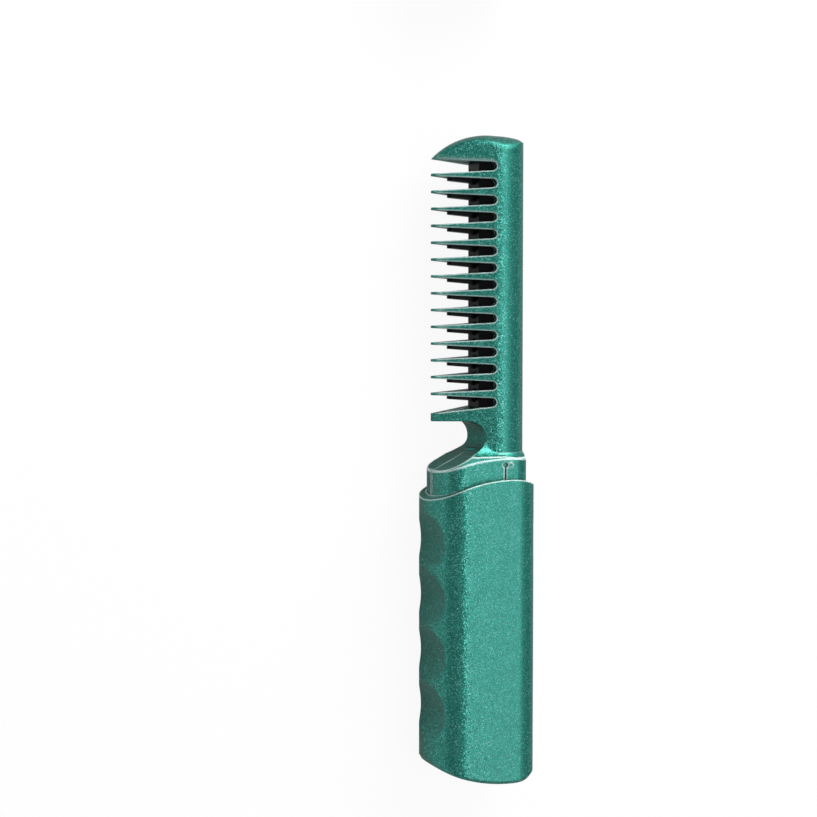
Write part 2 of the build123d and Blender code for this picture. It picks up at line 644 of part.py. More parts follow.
def shell_bosses():
    """Square screw bosses that reach from both shells to the chassis tongue."""
    reach = THICKNESS / 2 - COLLAR_INSET - COLLAR_WALL / 2
    bosses = []
    for x, y in SHELL_SCREW_PLACES:
        for side in (-1, 1):
            low, high = sorted((side * TONGUE_HALF, side * reach))
            ends = (x - SHELL_BOSS / 2, x + SHELL_BOSS / 2), (y - SHELL_BOSS / 2, y + SHELL_BOSS / 2)
            bosses.append(block(*ends, (low, high)))
    return bosses


def shell_screw_holes():
    """Clearance holes and head recesses, entered from the resting side."""
    face = THICKNESS / 2 - COLLAR_INSET
    radius, height = SHELL_SCREW_HEAD
    holes = []
    for x, y in SHELL_SCREW_PLACES:
        holes.append(rod_z(x, y, SHELL_SCREW_RADIUS, -face - PAST, face - COLLAR_WALL))
        seat = -face + height + SHELL_SCREW_SUNK
        holes.append(rod_z(x, y, radius + SHELL_SCREW_HEAD_FIT, -face - PAST, seat))
    return holes


def comb_body():
    """Both comb shells as one form: collar, neck, guards, teeth and head."""
    collar = along_y(body_section(COLLAR_INSET), COLLAR_BOTTOM, COLLAR_PEAK + PAST)
    collar = collar & across(below_collar_top())
    axis_y = HEAD_PEAK - HEAD_DOME_RADIUS
    blade = along_y(comb_section(), COLLAR_ROOF, axis_y)
    blade = blade - across(notch_profile())
    dome = revolve(head_profile(axis_y), Axis((0, axis_y, 0), (1, 0, 0)), 360)
    head = along_y(comb_section(), axis_y, HEAD_PEAK + PAST) & dome
    body = collar + neck_foot() + blade + head
    lower_lip = LOWER_GUARD_TIP_TOP
    first = slot_heights()[0]
    drop = first - (TOOTH_PITCH - TOOTH_TIP_THICKNESS) / 2 - lower_lip
    slots = [across(tooth_slot(first, drop))]
    slots += [across(tooth_slot(height)) for height in slot_heights()[1:]]
    body = body - slots - shell_hollows()
    body = body + shell_bosses()
    return body - shell_screw_holes() - collar_details()


def collar_details():
    """Keyhole slit beside each detent, and the groove in which the shells part."""
    face = THICKNESS / 2 - COLLAR_INSET
    cuts = []
    for side in (-1, 1):
        low, high = sorted((side * (face - SLIT_DEPTH), side * (face + PAST)))
        half = SLIT_WIDTH / 2
        cuts.append(block((SLIT_X - half, SLIT_X + half), (SLIT_BOTTOM, SLIT_TOP), (low, high)))
        cuts.append(rod_z(SLIT_X, SLIT_TOP, SLIT_EYE_RADIUS, low, high))
    front = -DEPTH / 2 + COLLAR_INSET
    width, depth = PARTING_GROOVE
    ends = (COLLAR_BOTTOM - PAST, COLLAR_PEAK)
    cuts.append(block((front - PAST, front + depth), ends, (-width / 2, width / 2)))
    return cuts


def detent(side):
    """Low round bump that holds the cap on."""
    face = THICKNESS / 2 - COLLAR_INSET
    low, high = sorted((side * (face - DETENT_ROOT), side * (face + DETENT_PROUD)))
    return rod_z(DETENT_X, SLIT_TOP, DETENT_RADIUS, low, high)


def comb_shell(side, body):
    """One half of the comb body, on the given side of the mid-plane."""
    low, high = sorted((0, side * FAR))
    half = body & block((-FAR, FAR), (0, LENGTH), (low, high))
    return half + detent(side)


# ---------------------------------------------------------------- heater
def heater_slot(height):
    """Side profile of a slot between heated teeth, with bevelled corners at its end."""
    root = (TOOTH_PITCH - HEATER_TOOTH) / 2
    mouth = (TOOTH_PITCH - HEATER_TOOTH_TIP) / 2
    root_x = HEATER_FRONT_X - root / 2
    mouth_x = HEATER_TIP_X - PAST
    upper = [(mouth_x, mouth), (root_x, root), (HEATER_FRONT_X, root / 2)]
    corners = [(x, height + y) for x, y in upper] + [(x, height - y) for x, y in reversed(upper)]
    return make_face(Polyline(*corners, close=True))


def heater_comb():
    """Heated comb: bevelled teeth on the wedge that holds the heating element."""
    half = HEATER_HALF_THICKNESS
    ends = (HEATER_BOTTOM, HEATER_TOP)
    plate = block((HEATER_TIP_X, HEATER_FRONT_X + PAST), ends, (-half, half))
    tip_edges = plate.edges().filter_by(Axis.Y).group_by(Axis.X)[0]
    plate = chamfer(tip_edges, HEATER_TIP_BEVEL)
    heights = [height - HEATER_DROP for height in slot_heights()]
    slots = [across(heater_slot(height)) for height in heights]
    for end in ((0, heights[0]), (heights[-1], LENGTH)):
        slots.append(block((HEATER_TIP_X - PAST, HEATER_FRONT_X), end, (-FAR, FAR)))
    wedge = wedge_section(SHELL_WALL + HEATER_CLEARANCE, HEATER_FRONT_X, HEATER_BACK_X)
    channel = block(CHANNEL_X, (0, LENGTH), (-CHANNEL_HALF, CHANNEL_HALF))
    probe_hole = rod_y(*PROBE_PLACE, PROBE_RADIUS, 0, HEATER_BOTTOM + PROBE_INSIDE)
    return plate - slots + along_y(wedge, *ends) - channel - probe_hole


def heater_film():
    """Insulating film folded round the heating element."""
    half = CHANNEL_HALF
    ends = (HEATER_BOTTOM, HEATER_TOP)
    outer = block(CHANNEL_X, ends, (-half, half))
    inner = block((CHANNEL_X[0] + FILM, CHANNEL_X[1] - FILM), (0, LENGTH), (-half + FILM, half - FILM))
    return outer - inner


def electrode_plates():
    """The two contact strips on either side of the heating elements."""
    half = CHANNEL_HALF - FILM - ELECTRODE_SIDE_GAP
    ends = (HEATER_BOTTOM - ELECTRODE_TAIL, HEATER_TOP - ELECTRODE_TOP_GAP)
    low = CHANNEL_X[0] + FILM
    high = CHANNEL_X[1] - FILM
    return [
        block((low, low + ELECTRODE), ends, (-half, half)),
        block((high - ELECTRODE, high), ends, (-half, half)),
    ]


def ptc_elements():
    """Ceramic heating elements, end to end between the contact strips."""
    x = (CHANNEL_X[0] + FILM + ELECTRODE, CHANNEL_X[1] - FILM - ELECTRODE)
    half = CHANNEL_HALF - FILM - PTC_SIDE_GAP
    first = HEATER_BOTTOM + PTC_END_GAP
    pitch = (HEATER_TOP - PTC_END_GAP - first + PTC_GAP) / PTC_COUNT
    return [
        block(x, (first + index * pitch, first + (index + 1) * pitch - PTC_GAP), (-half, half))
        for index in range(PTC_COUNT)
    ]


def thermistor():
    """Glass bead that senses the heater's temperature, in its hole in the heater."""
    high = HEATER_BOTTOM + PROBE_INSIDE
    return rod_y(*PROBE_PLACE, PROBE_RADIUS, high - PROBE_LENGTH, high)


def lead(x_top, side):
    """One wire from a contact strip, through the neck and past the collar, to the main board."""
    board_x = CHASSIS_WEB_X + BOARD + LEAD_LIFT + LEAD_RADIUS
    path = FilletPolyline(
        (x_top, HEATER_BOTTOM - ELECTRODE_TAIL, LEAD_TOP_Z),
        (x_top, COLLAR_ROOF + LEAD_TURN, LEAD_TOP_Z),
        (board_x, board_ends()[1] - LEAD_END_GAP, side * LEAD_BOARD_Z),
        radius=LEAD_BEND,
    )
    start = Plane(origin=path @ 0, z_dir=path % 0)
    return sweep(start * Circle(LEAD_RADIUS), path=path)


def heater_leads():
    """The heater's two supply wires, one from each contact strip."""
    low = CHANNEL_X[0] + FILM + LEAD_RADIUS
    high = CHANNEL_X[1] - FILM - LEAD_RADIUS - LEAD_SIDE_GAP
    return [lead(low, -1), lead(high, 1)]


# ---------------------------------------------------------------- inside the handle
def inner_chassis():
    """Trough for the cell, with a floor, a roof, and the tongue that the shells clamp."""
    half = THICKNESS / 2 - WALL - CHASSIS_SIDE_FIT
    floor = CELL_BOTTOM - TAB - CHASSIS_FLOOR
    roof = CHASSIS_TOP
    trough = block((CELL_X, CHASSIS_WEB_X), (floor, roof + CHASSIS_ROOF), (-half, half))
    trough = trough - rod_y(CELL_X, 0, CELL_RADIUS + CELL_FIT, floor + CHASSIS_FLOOR, roof)
    roof_plate = rod_y(CELL_X, 0, CELL_RADIUS, roof, roof + CHASSIS_ROOF)
    tongue = block(TONGUE_X, (roof, COLLAR_ROOF - TONGUE_GAP), (-TONGUE_HALF, TONGUE_HALF))
    chassis = trough + roof_plate + tongue
    holes = [rod_z(x, y, SHELL_SCREW_RADIUS + SCREW_HOLE_FIT, -FAR, FAR) for x, y in SHELL_SCREW_PLACES]
    for y, z in BOARD_SCREW_PLACES:
        holes.append(rod_x(y, z, BOARD_SCREW_RADIUS, CHASSIS_WEB_X - BOARD_SCREW_LENGTH, DEPTH))
    slot_half = TAB_HALF_WIDTH + TAB_SLOT_FIT
    tab_slots = [
        block((CELL_X, CHASSIS_WEB_X + PAST), (low, low + TAB), (-slot_half, slot_half))
        for low in tab_heights()
    ]
    return chassis - holes - tab_slots


def battery_cell():
    """Round lithium cell."""
    return rod_y(CELL_X, 0, CELL_RADIUS, CELL_BOTTOM, CELL_BOTTOM + CELL_LENGTH)


def tab_heights():
    """Lower faces of the two tabs, at the cell's ends."""
    return CELL_BOTTOM - TAB, CELL_BOTTOM + CELL_LENGTH


def battery_tabs():
    """Nickel strips from the cell's ends to the main board."""
    half = TAB_HALF_WIDTH
    return [
        block((CELL_X - TAB_REACH, CHASSIS_WEB_X), (low, low + TAB), (-half, half))
        for low in tab_heights()
    ]


def battery_foam():
    """Foam pad that presses the cell down."""
    low = CELL_BOTTOM + CELL_LENGTH + TAB
    half = FOAM_WIDTH / 2
    return block((CELL_X - half, CELL_X + half), (low, low + FOAM), (-half, half))


def board_ends():
    """Heights of the main board's two ends."""
    low = WALL + BOARD_END_GAP
    return low, CHASSIS_TOP + CHASSIS_ROOF


def main_board():
    """Main board, on the chassis, from the charging socket to the display."""
    low, high = board_ends()
    half = BOARD_HALF_WIDTH
    board = block((CHASSIS_WEB_X, CHASSIS_WEB_X + BOARD), (low, high), (-half, half))
    board = chamfer(board.edges().filter_by(Axis.X).group_by(Axis.Y)[0], BOARD_CORNER)
    holes = [rod_x(y, z, BOARD_SCREW_RADIUS + SCREW_HOLE_FIT, 0, DEPTH) for y, z in BOARD_SCREW_PLACES]
    return board - holes


def board_screws():
    """Two screws that hold the main board to the chassis."""
    face = CHASSIS_WEB_X + BOARD
    radius, height = BOARD_SCREW_HEAD
    screws = []
    for y, z in BOARD_SCREW_PLACES:
        end = CHASSIS_WEB_X - BOARD_SCREW_LENGTH + SCREW_END_GAP
        shank = rod_x(y, z, BOARD_SCREW_RADIUS, end, face)
        screws.append(shank + rod_x(y, z, radius, face, face + height))
    return screws


def board_parts():
    """Controller, charger, coil and connector on the main board."""
    face = CHASSIS_WEB_X + BOARD
    return [
        block((face, face + tall), (y - long / 2, y + long / 2), (z - wide / 2, z + wide / 2))
        for y, z, long, wide, tall in (CHARGER, CONNECTOR, COIL, CONTROLLER)
    ]


def display_module():
    """Number display behind the lens."""
    face = CHASSIS_WEB_X + BOARD
    long, wide, tall = MODULE_SIZE
    low = min(LENS_HEIGHT - long / 2, board_ends()[1] - long)
    return block((face, face + tall), (low, low + long), (-wide / 2, wide / 2))


def tact_switch():
    """Push switch body on the main board, with the bore for its plunger."""
    face = CHASSIS_WEB_X + BOARD
    long, wide, tall = SWITCH_SIZE
    body = block(
        (face, face + tall),
        (BUTTON_HEIGHT - long / 2, BUTTON_HEIGHT + long / 2),
        (-wide / 2, wide / 2),
    )
    deep = PLUNGER_OVERLAP + BUTTON_TRAVEL + PLUNGER_GAP
    bore = rod_x(BUTTON_HEIGHT, 0, PLUNGER_RADIUS + PLUNGER_GAP, face + tall - deep, DEPTH)
    return body - bore


def switch_plunger():
    """Plunger between the button's flange and the switch; it moves with the button."""
    face = CHASSIS_WEB_X + BOARD + SWITCH_SIZE[2]
    top = BUTTON_SEAT_X - BUTTON_SEAT_GAP - BUTTON_FLANGE_THICKNESS
    return rod_x(BUTTON_HEIGHT, 0, PLUNGER_RADIUS, face - PLUNGER_OVERLAP, top)


def usb_socket():
    """Shell of the charging socket, in its hole in the base."""
    ends = (SOCKET_RECESS, SOCKET_RECESS + SOCKET_LENGTH)
    shell = along_y(socket_outline(), *ends)
    return shell - along_y(socket_outline(-SOCKET_WALL), ends[0] - PAST, ends[1] - SOCKET_BACK_WALL)


def usb_tongue():
    """Contact tongue in the middle of the charging socket."""
    wide, tall, long = SOCKET_TONGUE
    centre = CHASSIS_WEB_X - SOCKET_SIZE[1] / 2
    end = SOCKET_RECESS + SOCKET_LENGTH - SOCKET_BACK_WALL
    return block((centre - tall / 2, centre + tall / 2), (end - long, end), (-wide / 2, wide / 2))


def shell_screws():
    """Screws that clamp the two comb shells on the chassis tongue."""
    face = THICKNESS / 2 - COLLAR_INSET
    radius, height = SHELL_SCREW_HEAD
    seat = -face + height + SHELL_SCREW_SUNK
    screws = []
    for x, y in SHELL_SCREW_PLACES:
        shank = rod_z(x, y, SHELL_SCREW_RADIUS, seat, face - COLLAR_WALL - SCREW_END_GAP)
        screws.append(shank + rod_z(x, y, radius, seat - height, seat))
    return screws


# ---------------------------------------------------------------- cap
def cap_shell():
    """Pull-off cap, drawn closed: its mouth follows the sleeve's rim."""
    low = RIM_TEETH_SIDE - 2 * PAST
    outer = along_y(body_section(), low, LENGTH)
    outer = chamfer(outer.faces().sort_by(Axis.Y)[-1].edges(), CAP_END_BEVEL)
    inner = along_y(body_section(CAP_WALL), low - PAST, LENGTH - CAP_END_WALL)
    return outer - inner - across(below_rim(CAP_SEAM))


def main():
    """Build every piece and write one STEP file for each."""
    os.makedirs("parts", exist_ok=True)
    body = comb_body()
    fixed = {
        "handle_sleeve": handle_sleeve(),
        "comb_shell_left": comb_shell(1, body),
        "comb_shell_right": comb_shell(-1, body),
        "heater_comb": heater_comb(),
        "heater_film": heater_film(),
        "electrode_plates": electrode_plates(),
        "ptc_elements": ptc_elements(),
        "thermistor": thermistor(),
        "heater_leads": heater_leads(),
        "inner_chassis": inner_chassis(),
        "battery_cell": battery_cell(),
        "battery_tabs": battery_tabs(),
        "battery_foam": battery_foam(),
        "main_board": main_board(),
        "board_screws": board_screws(),
        "board_parts": board_parts(),
        "display_module": display_module(),
        "display_lens": display_lens(),
        "tact_switch": tact_switch(),
        "usb_socket": usb_socket(),
        "usb_tongue": usb_tongue(),
        "shell_screws": shell_screws(),
        "power_button": power_button(),
        "switch_plunger": switch_plunger(),
    }
    for name, shape in fixed.items():
        write(name, shape, 0.0)
    write("cap_shell", cap_shell(), CAP_TRAVEL)


def write(name, shape, pulled):
    """Write one piece, or a group of alike pieces, to its STEP file."""
    solids = shape if isinstance(shape, list) else [shape]
    placed = [place(solid, pulled) for solid in solids]
    export_step(placed[0] if len(placed) == 1 else Compound(children=placed), f"parts/{name}.step")


main()
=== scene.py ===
"""Dresses the cordless hot comb, its button and its cap, and sets them in a plain studio."""

import logging
import math
from abc import ABC, abstractmethod
from dataclasses import dataclass
from enum import Enum
from functools import cached_property

import bmesh
import bpy
from mathutils import Matrix, Vector
from mathutils.bvhtree import BVHTree


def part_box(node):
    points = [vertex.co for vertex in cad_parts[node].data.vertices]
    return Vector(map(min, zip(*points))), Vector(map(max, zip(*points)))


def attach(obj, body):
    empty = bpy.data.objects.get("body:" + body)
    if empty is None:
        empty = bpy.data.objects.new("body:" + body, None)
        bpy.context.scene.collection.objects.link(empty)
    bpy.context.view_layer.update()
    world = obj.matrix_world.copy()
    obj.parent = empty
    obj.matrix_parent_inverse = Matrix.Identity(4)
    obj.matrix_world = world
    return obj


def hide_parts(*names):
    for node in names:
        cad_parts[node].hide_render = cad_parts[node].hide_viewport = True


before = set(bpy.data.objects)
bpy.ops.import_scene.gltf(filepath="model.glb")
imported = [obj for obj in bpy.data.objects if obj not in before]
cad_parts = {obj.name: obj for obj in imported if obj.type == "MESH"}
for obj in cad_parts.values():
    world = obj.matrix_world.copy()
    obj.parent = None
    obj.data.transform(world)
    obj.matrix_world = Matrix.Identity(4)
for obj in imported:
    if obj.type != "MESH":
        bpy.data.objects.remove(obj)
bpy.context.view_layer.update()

LOG = logging.getLogger("hot_comb")
MM = 0.001
STEPS_PER_METRE = 1_000_000
SAME_PLACE = 0.01 * MM
WHITE = (1.0, 1.0, 1.0, 1.0)

Colour = tuple[float, float, float]
Point = tuple[float, float, float]
Span = tuple[float, float]
Mesh = bpy.types.Mesh
Piece = bpy.types.Object
Socket = bpy.types.NodeSocket


class Body(Enum):
    """The parts that move against each other."""

    COMB = "comb"
    BUTTON = "button"
    CAP = "cap"


class Slot(Enum):
    """The slot names that each finish carries."""

    PEARL = "pearl_green"
    HEATER = "heater_black"
    LENS = "lens_black"
    FILM = "insulating_film"
    ELECTRODE = "electrode_metal"
    CERAMIC = "ptc_ceramic"
    BEAD = "bead_glass"
    LEAD = "lead_silicone"
    CHASSIS = "chassis_plastic"
    WRAP = "cell_wrap"
    NICKEL = "nickel"
    FOAM = "foam"
    BOARD = "board_green"
    CHIP = "chip_black"
    SCREW = "screw_steel"
    DISPLAY = "display_white"
    SWITCH = "switch_black"
    SOCKET = "socket_steel"


class Blend(Enum):
    """What a mix blends, with the numbers of its first input and of its output."""

    FLOAT = (2, 0)
    VECTOR = (4, 1)
    RGBA = (6, 2)


class Lie(Enum):
    """How a display segment lies, with its turn."""

    LEVEL = (0.0, math.pi / 2, 0.0)
    UPRIGHT = (math.pi / 2, 0.0, math.pi / 2)


def srgb(red: int, green: int, blue: int) -> Colour:
    """Turns a colour of 0 to 255 a channel into linear light, by the sRGB curve."""
    shares = (channel / 255 for channel in (red, green, blue))
    return tuple(s / 12.92 if s <= 0.04045 else ((s + 0.055) / 1.055) ** 2.4 for s in shares)


# Trees


class TreeBuilder:
    """Adds nodes to one shader or geometry tree and wires them."""

    def __init__(self, tree: bpy.types.NodeTree) -> None:
        """Takes over an empty tree."""
        self.tree = tree
        tree.nodes.clear()

    def add(self, kind: str, inputs: dict | None = None, **settings: object) -> bpy.types.Node:
        """Adds one node.

        Args:
            kind: The node's type name.
            inputs: A value, a source socket or a list of them for each named or numbered input.
            settings: The node's own properties.

        Returns:
            The new node.
        """
        node = self.tree.nodes.new(kind)
        for name, value in settings.items():
            setattr(node, name, value)
        for key, given in (inputs or {}).items():
            for value in given if isinstance(given, list) else [given]:
                if isinstance(value, Socket):
                    self.tree.links.new(value, node.inputs[key])
                else:
                    node.inputs[key].default_value = value
        return node

    def vector(self, operation: str, *values: Point | Socket, **named: float) -> Socket:
        """Works out one vector from others."""
        inputs = {**dict(enumerate(values)), **named}
        return self.add("ShaderNodeVectorMath", inputs, operation=operation).outputs[0]


class ShaderTree(TreeBuilder):
    """The tree of one material or of the world."""

    @cached_property
    def place(self) -> Socket:
        """Where the surface is, in its object's own coordinates."""
        return self.add("ShaderNodeTexCoord").outputs["Object"]

    @cached_property
    def axes(self) -> dict[str, Socket]:
        """The same place as X, Y and Z."""
        outputs = self.add("ShaderNodeSeparateXYZ", {"Vector": self.place}).outputs
        return {key: outputs[key] for key in "XYZ"}

    def math(self, operation: str, *values: float | Socket, clamp: bool = False) -> Socket:
        """Works out one number from others."""
        inputs = dict(enumerate(values))
        return self.add("ShaderNodeMath", inputs, operation=operation, use_clamp=clamp).outputs[0]

    def fade(self, value: Socket, ends: Span, levels: Span = (0.0, 1.0), **settings: str) -> Socket:
        """Runs from one level to another while a value goes from end to end."""
        sizes = dict(zip(("From Min", "From Max", "To Min", "To Max"), (*ends, *levels)))
        return self.add("ShaderNodeMapRange", {"Value": value, **sizes}, **settings).outputs[0]

    def mix(self, kind: Blend, share: Socket, first: object, second: object) -> Socket:
        """Blends two values by a share."""
        start, result = kind.value
        inputs = {0: share, start: first, start + 1: second}
        return self.add("ShaderNodeMix", inputs, data_type=kind.name).outputs[result]

    def bevel(self, radius: float, samples: int = 4) -> Socket:
        """Gives the normal with its edges rounded."""
        return self.add("ShaderNodeBevel", {"Radius": radius}, samples=samples).outputs[0]

    def turned(self, normal: Socket, by: Socket) -> Socket:
        """Leans a normal and keeps its length."""
        return self.vector("NORMALIZE", self.vector("ADD", normal, by))

    def ramp(self, share: Socket, stops: list[tuple[float, Colour]]) -> Socket:
        """Maps a share to colours.

        Args:
            share: The socket that gives 0 to 1.
            stops: Each place on the ramp with its colour.

        Returns:
            The colour socket.
        """
        node = self.add("ShaderNodeValToRGB", {"Fac": share})
        elements = node.color_ramp.elements
        while len(elements) < len(stops):
            elements.new(0.5)
        for element, (place, colour) in zip(elements, stops):
            element.position = place
            element.color = (*colour, 1.0)
        return node.outputs["Color"]


class GrowthTree(TreeBuilder):
    """A geometry tree with named inputs that grows pieces on a base mesh."""

    KINDS = {
        float: "NodeSocketFloat",
        int: "NodeSocketInt",
        tuple: "NodeSocketVector",
        bpy.types.Object: "NodeSocketObject",
        bpy.types.Material: "NodeSocketMaterial",
    }

    def __init__(self, name: str, sizes: dict[str, object]) -> None:
        """Makes the tree and its inputs.

        Args:
            name: The tree's name.
            sizes: Each input's name with its value.
        """
        super().__init__(bpy.data.node_groups.new(name, "GeometryNodeTree"))
        face = self.tree.interface
        face.new_socket("Geometry", in_out="INPUT", socket_type="NodeSocketGeometry")
        face.new_socket("Geometry", in_out="OUTPUT", socket_type="NodeSocketGeometry")
        self.values: dict[str, object] = {}
        for label, value in sizes.items():
            socket = face.new_socket(label, in_out="INPUT", socket_type=self.KINDS[type(value)])
            self.values[socket.identifier] = value
        self.given = self.add("NodeGroupInput").outputs

    def moved(self, geometry: Socket, height: float) -> Socket:
        """Lifts geometry by a height."""
        inputs = {"Geometry": geometry, "Translation": (0.0, 0.0, height)}
        return self.add("GeometryNodeTransform", inputs).outputs[0]

    def close(self, geometry: Socket) -> None:
        """Ends the tree with real geometry in its finish."""
        real = self.add("GeometryNodeRealizeInstances", {"Geometry": geometry}).outputs[0]
        dressed = self.add("GeometryNodeSetMaterial", {"Geometry": real, "Material": self.given["Finish"]})
        self.add("NodeGroupOutput", {"Geometry": dressed.outputs[0]})

    def grow(self, name: str, points: list[Point]) -> Piece:
        """Runs the tree on a base of loose points.

        Args:
            name: The new piece's name.
            points: The points that the tree grows on.

        Returns:
            The piece as a plain mesh object.
        """
        seed = link_object(name + "_seed", mesh_of(name + "_base", points, []))
        modifier = seed.modifiers.new("growth", "NODES")
        modifier.node_group = self.tree
        for identifier, value in self.values.items():
            modifier[identifier] = value
        grown = evaluated_mesh(seed, name)
        bpy.data.objects.remove(seed)
        return link_object(name, grown)


# Meshes


def link_object(name: str, mesh: Mesh) -> Piece:
    """Makes an object of a mesh and puts it into the scene.

    Args:
        name: The object's name.
        mesh: Its mesh, with its place in its points.

    Returns:
        The object, at the origin.
    """
    made = bpy.data.objects.new(name, mesh)
    bpy.context.scene.collection.objects.link(made)
    return made


def evaluated_mesh(piece: Piece, name: str) -> Mesh:
    """Turns a piece with its modifiers into a plain mesh.

    Args:
        piece: The object with its modifiers.
        name: The new mesh's name.

    Returns:
        The mesh.
    """
    bpy.context.view_layer.update()
    graph = bpy.context.evaluated_depsgraph_get()
    mesh = bpy.data.meshes.new_from_object(piece.evaluated_get(graph), depsgraph=graph)
    mesh.name = name
    return mesh


def mesh_of(name: str, points: list[Point], faces: list[tuple[int, ...]]) -> Mesh:
    """Makes a mesh from points and faces.

    Args:
        name: The mesh's name.
        points: Places in metres.
        faces: The numbers of each face's points.

    Returns:
        The mesh.
    """
    mesh = bpy.data.meshes.new(name)
    mesh.from_pydata([tuple(point) for point in points], [], faces)
    mesh.update()
    return mesh


def grid_faces(rows: int, columns: int) -> list[tuple[int, ...]]:
    """Joins a grid of points, numbered row by row, into faces.

    Args:
        rows: How many rows there are.
        columns: How many points a row has.

    Returns:
        The numbers of each face's points.
    """
    corners = (0, columns, columns + 1, 1)
    firsts = [columns * row + column for row in range(rows - 1) for column in range(columns - 1)]
    return [tuple(first + corner for corner in corners) for first in firsts]


def merged_mesh(node: str, name: str) -> Mesh:
    """Copies a CAD node's mesh with its doubled points joined.

    Args:
        node: The CAD node.
        name: The new mesh's name.

    Returns:
        The joined copy.
    """
    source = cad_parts[node].data
    numbers: dict[tuple[int, int, int], int] = {}
    points: list[Point] = []
    at: list[int] = []
    for vertex in source.vertices:
        key = tuple(round(value * STEPS_PER_METRE) for value in vertex.co)
        if key not in numbers:
            numbers[key] = len(points)
            points.append(tuple(vertex.co))
        at.append(numbers[key])
    faces = [tuple(at[i] for i in polygon.vertices) for polygon in source.polygons]
    return mesh_of(name, points, [face for face in faces if len(set(face)) == len(face)])


def islands(mesh: Mesh) -> list[list[Vector]]:
    """Splits a joined mesh into its separate solids.

    Args:
        mesh: A mesh whose doubled points are joined.

    Returns:
        The points of each solid.
    """
    made = bmesh.new()
    made.from_mesh(mesh)
    left = set(made.verts)
    found = []
    while left:
        front = [left.pop()]
        solid = []
        while front:
            vertex = front.pop()
            solid.append(vertex.co.copy())
            near = {edge.other_vert(vertex) for edge in vertex.link_edges} & left
            left -= near
            front.extend(near)
        found.append(solid)
    made.free()
    return sorted(found, key=lambda solid: tuple(min(solid, key=lambda p: tuple(p))))


@dataclass(frozen=True)
class Smoothing:
    """How a faceted copy is made smooth."""

    crease: float = math.radians(28)
    weight: int = 50

    def run(self, piece: Piece) -> None:
        """Shades the piece smooth up to the crease and keeps flat faces flat.

        Args:
            piece: The piece, which gets a new mesh.
        """
        piece.data.shade_smooth()
        piece.data.set_sharp_from_angle(angle=self.crease)
        modifier = piece.modifiers.new("flat faces stay flat", "WEIGHTED_NORMAL")
        modifier.weight = self.weight
        modifier.keep_sharp = True
        smooth = evaluated_mesh(piece, piece.data.name + "_smooth")
        piece.modifiers.clear()
        piece.data = smooth


# Finishes


class Finish(ABC):
    """A surface finish that becomes one material."""

    name: str
    slot: Slot

    def material(self) -> bpy.types.Material:
        """Gives the finish's material, made at its first use.

        Returns:
            The material.
        """
        found = bpy.data.materials.get(self.name)
        if found is None:
            found = bpy.data.materials.new(self.name)
            found.use_nodes = True
            tree = ShaderTree(found.node_tree)
            tree.add("ShaderNodeOutputMaterial", {"Surface": self.shade(tree)})
        return found

    @abstractmethod
    def shade(self, tree: ShaderTree) -> Socket:
        """Adds the finish's nodes and gives its shader socket."""


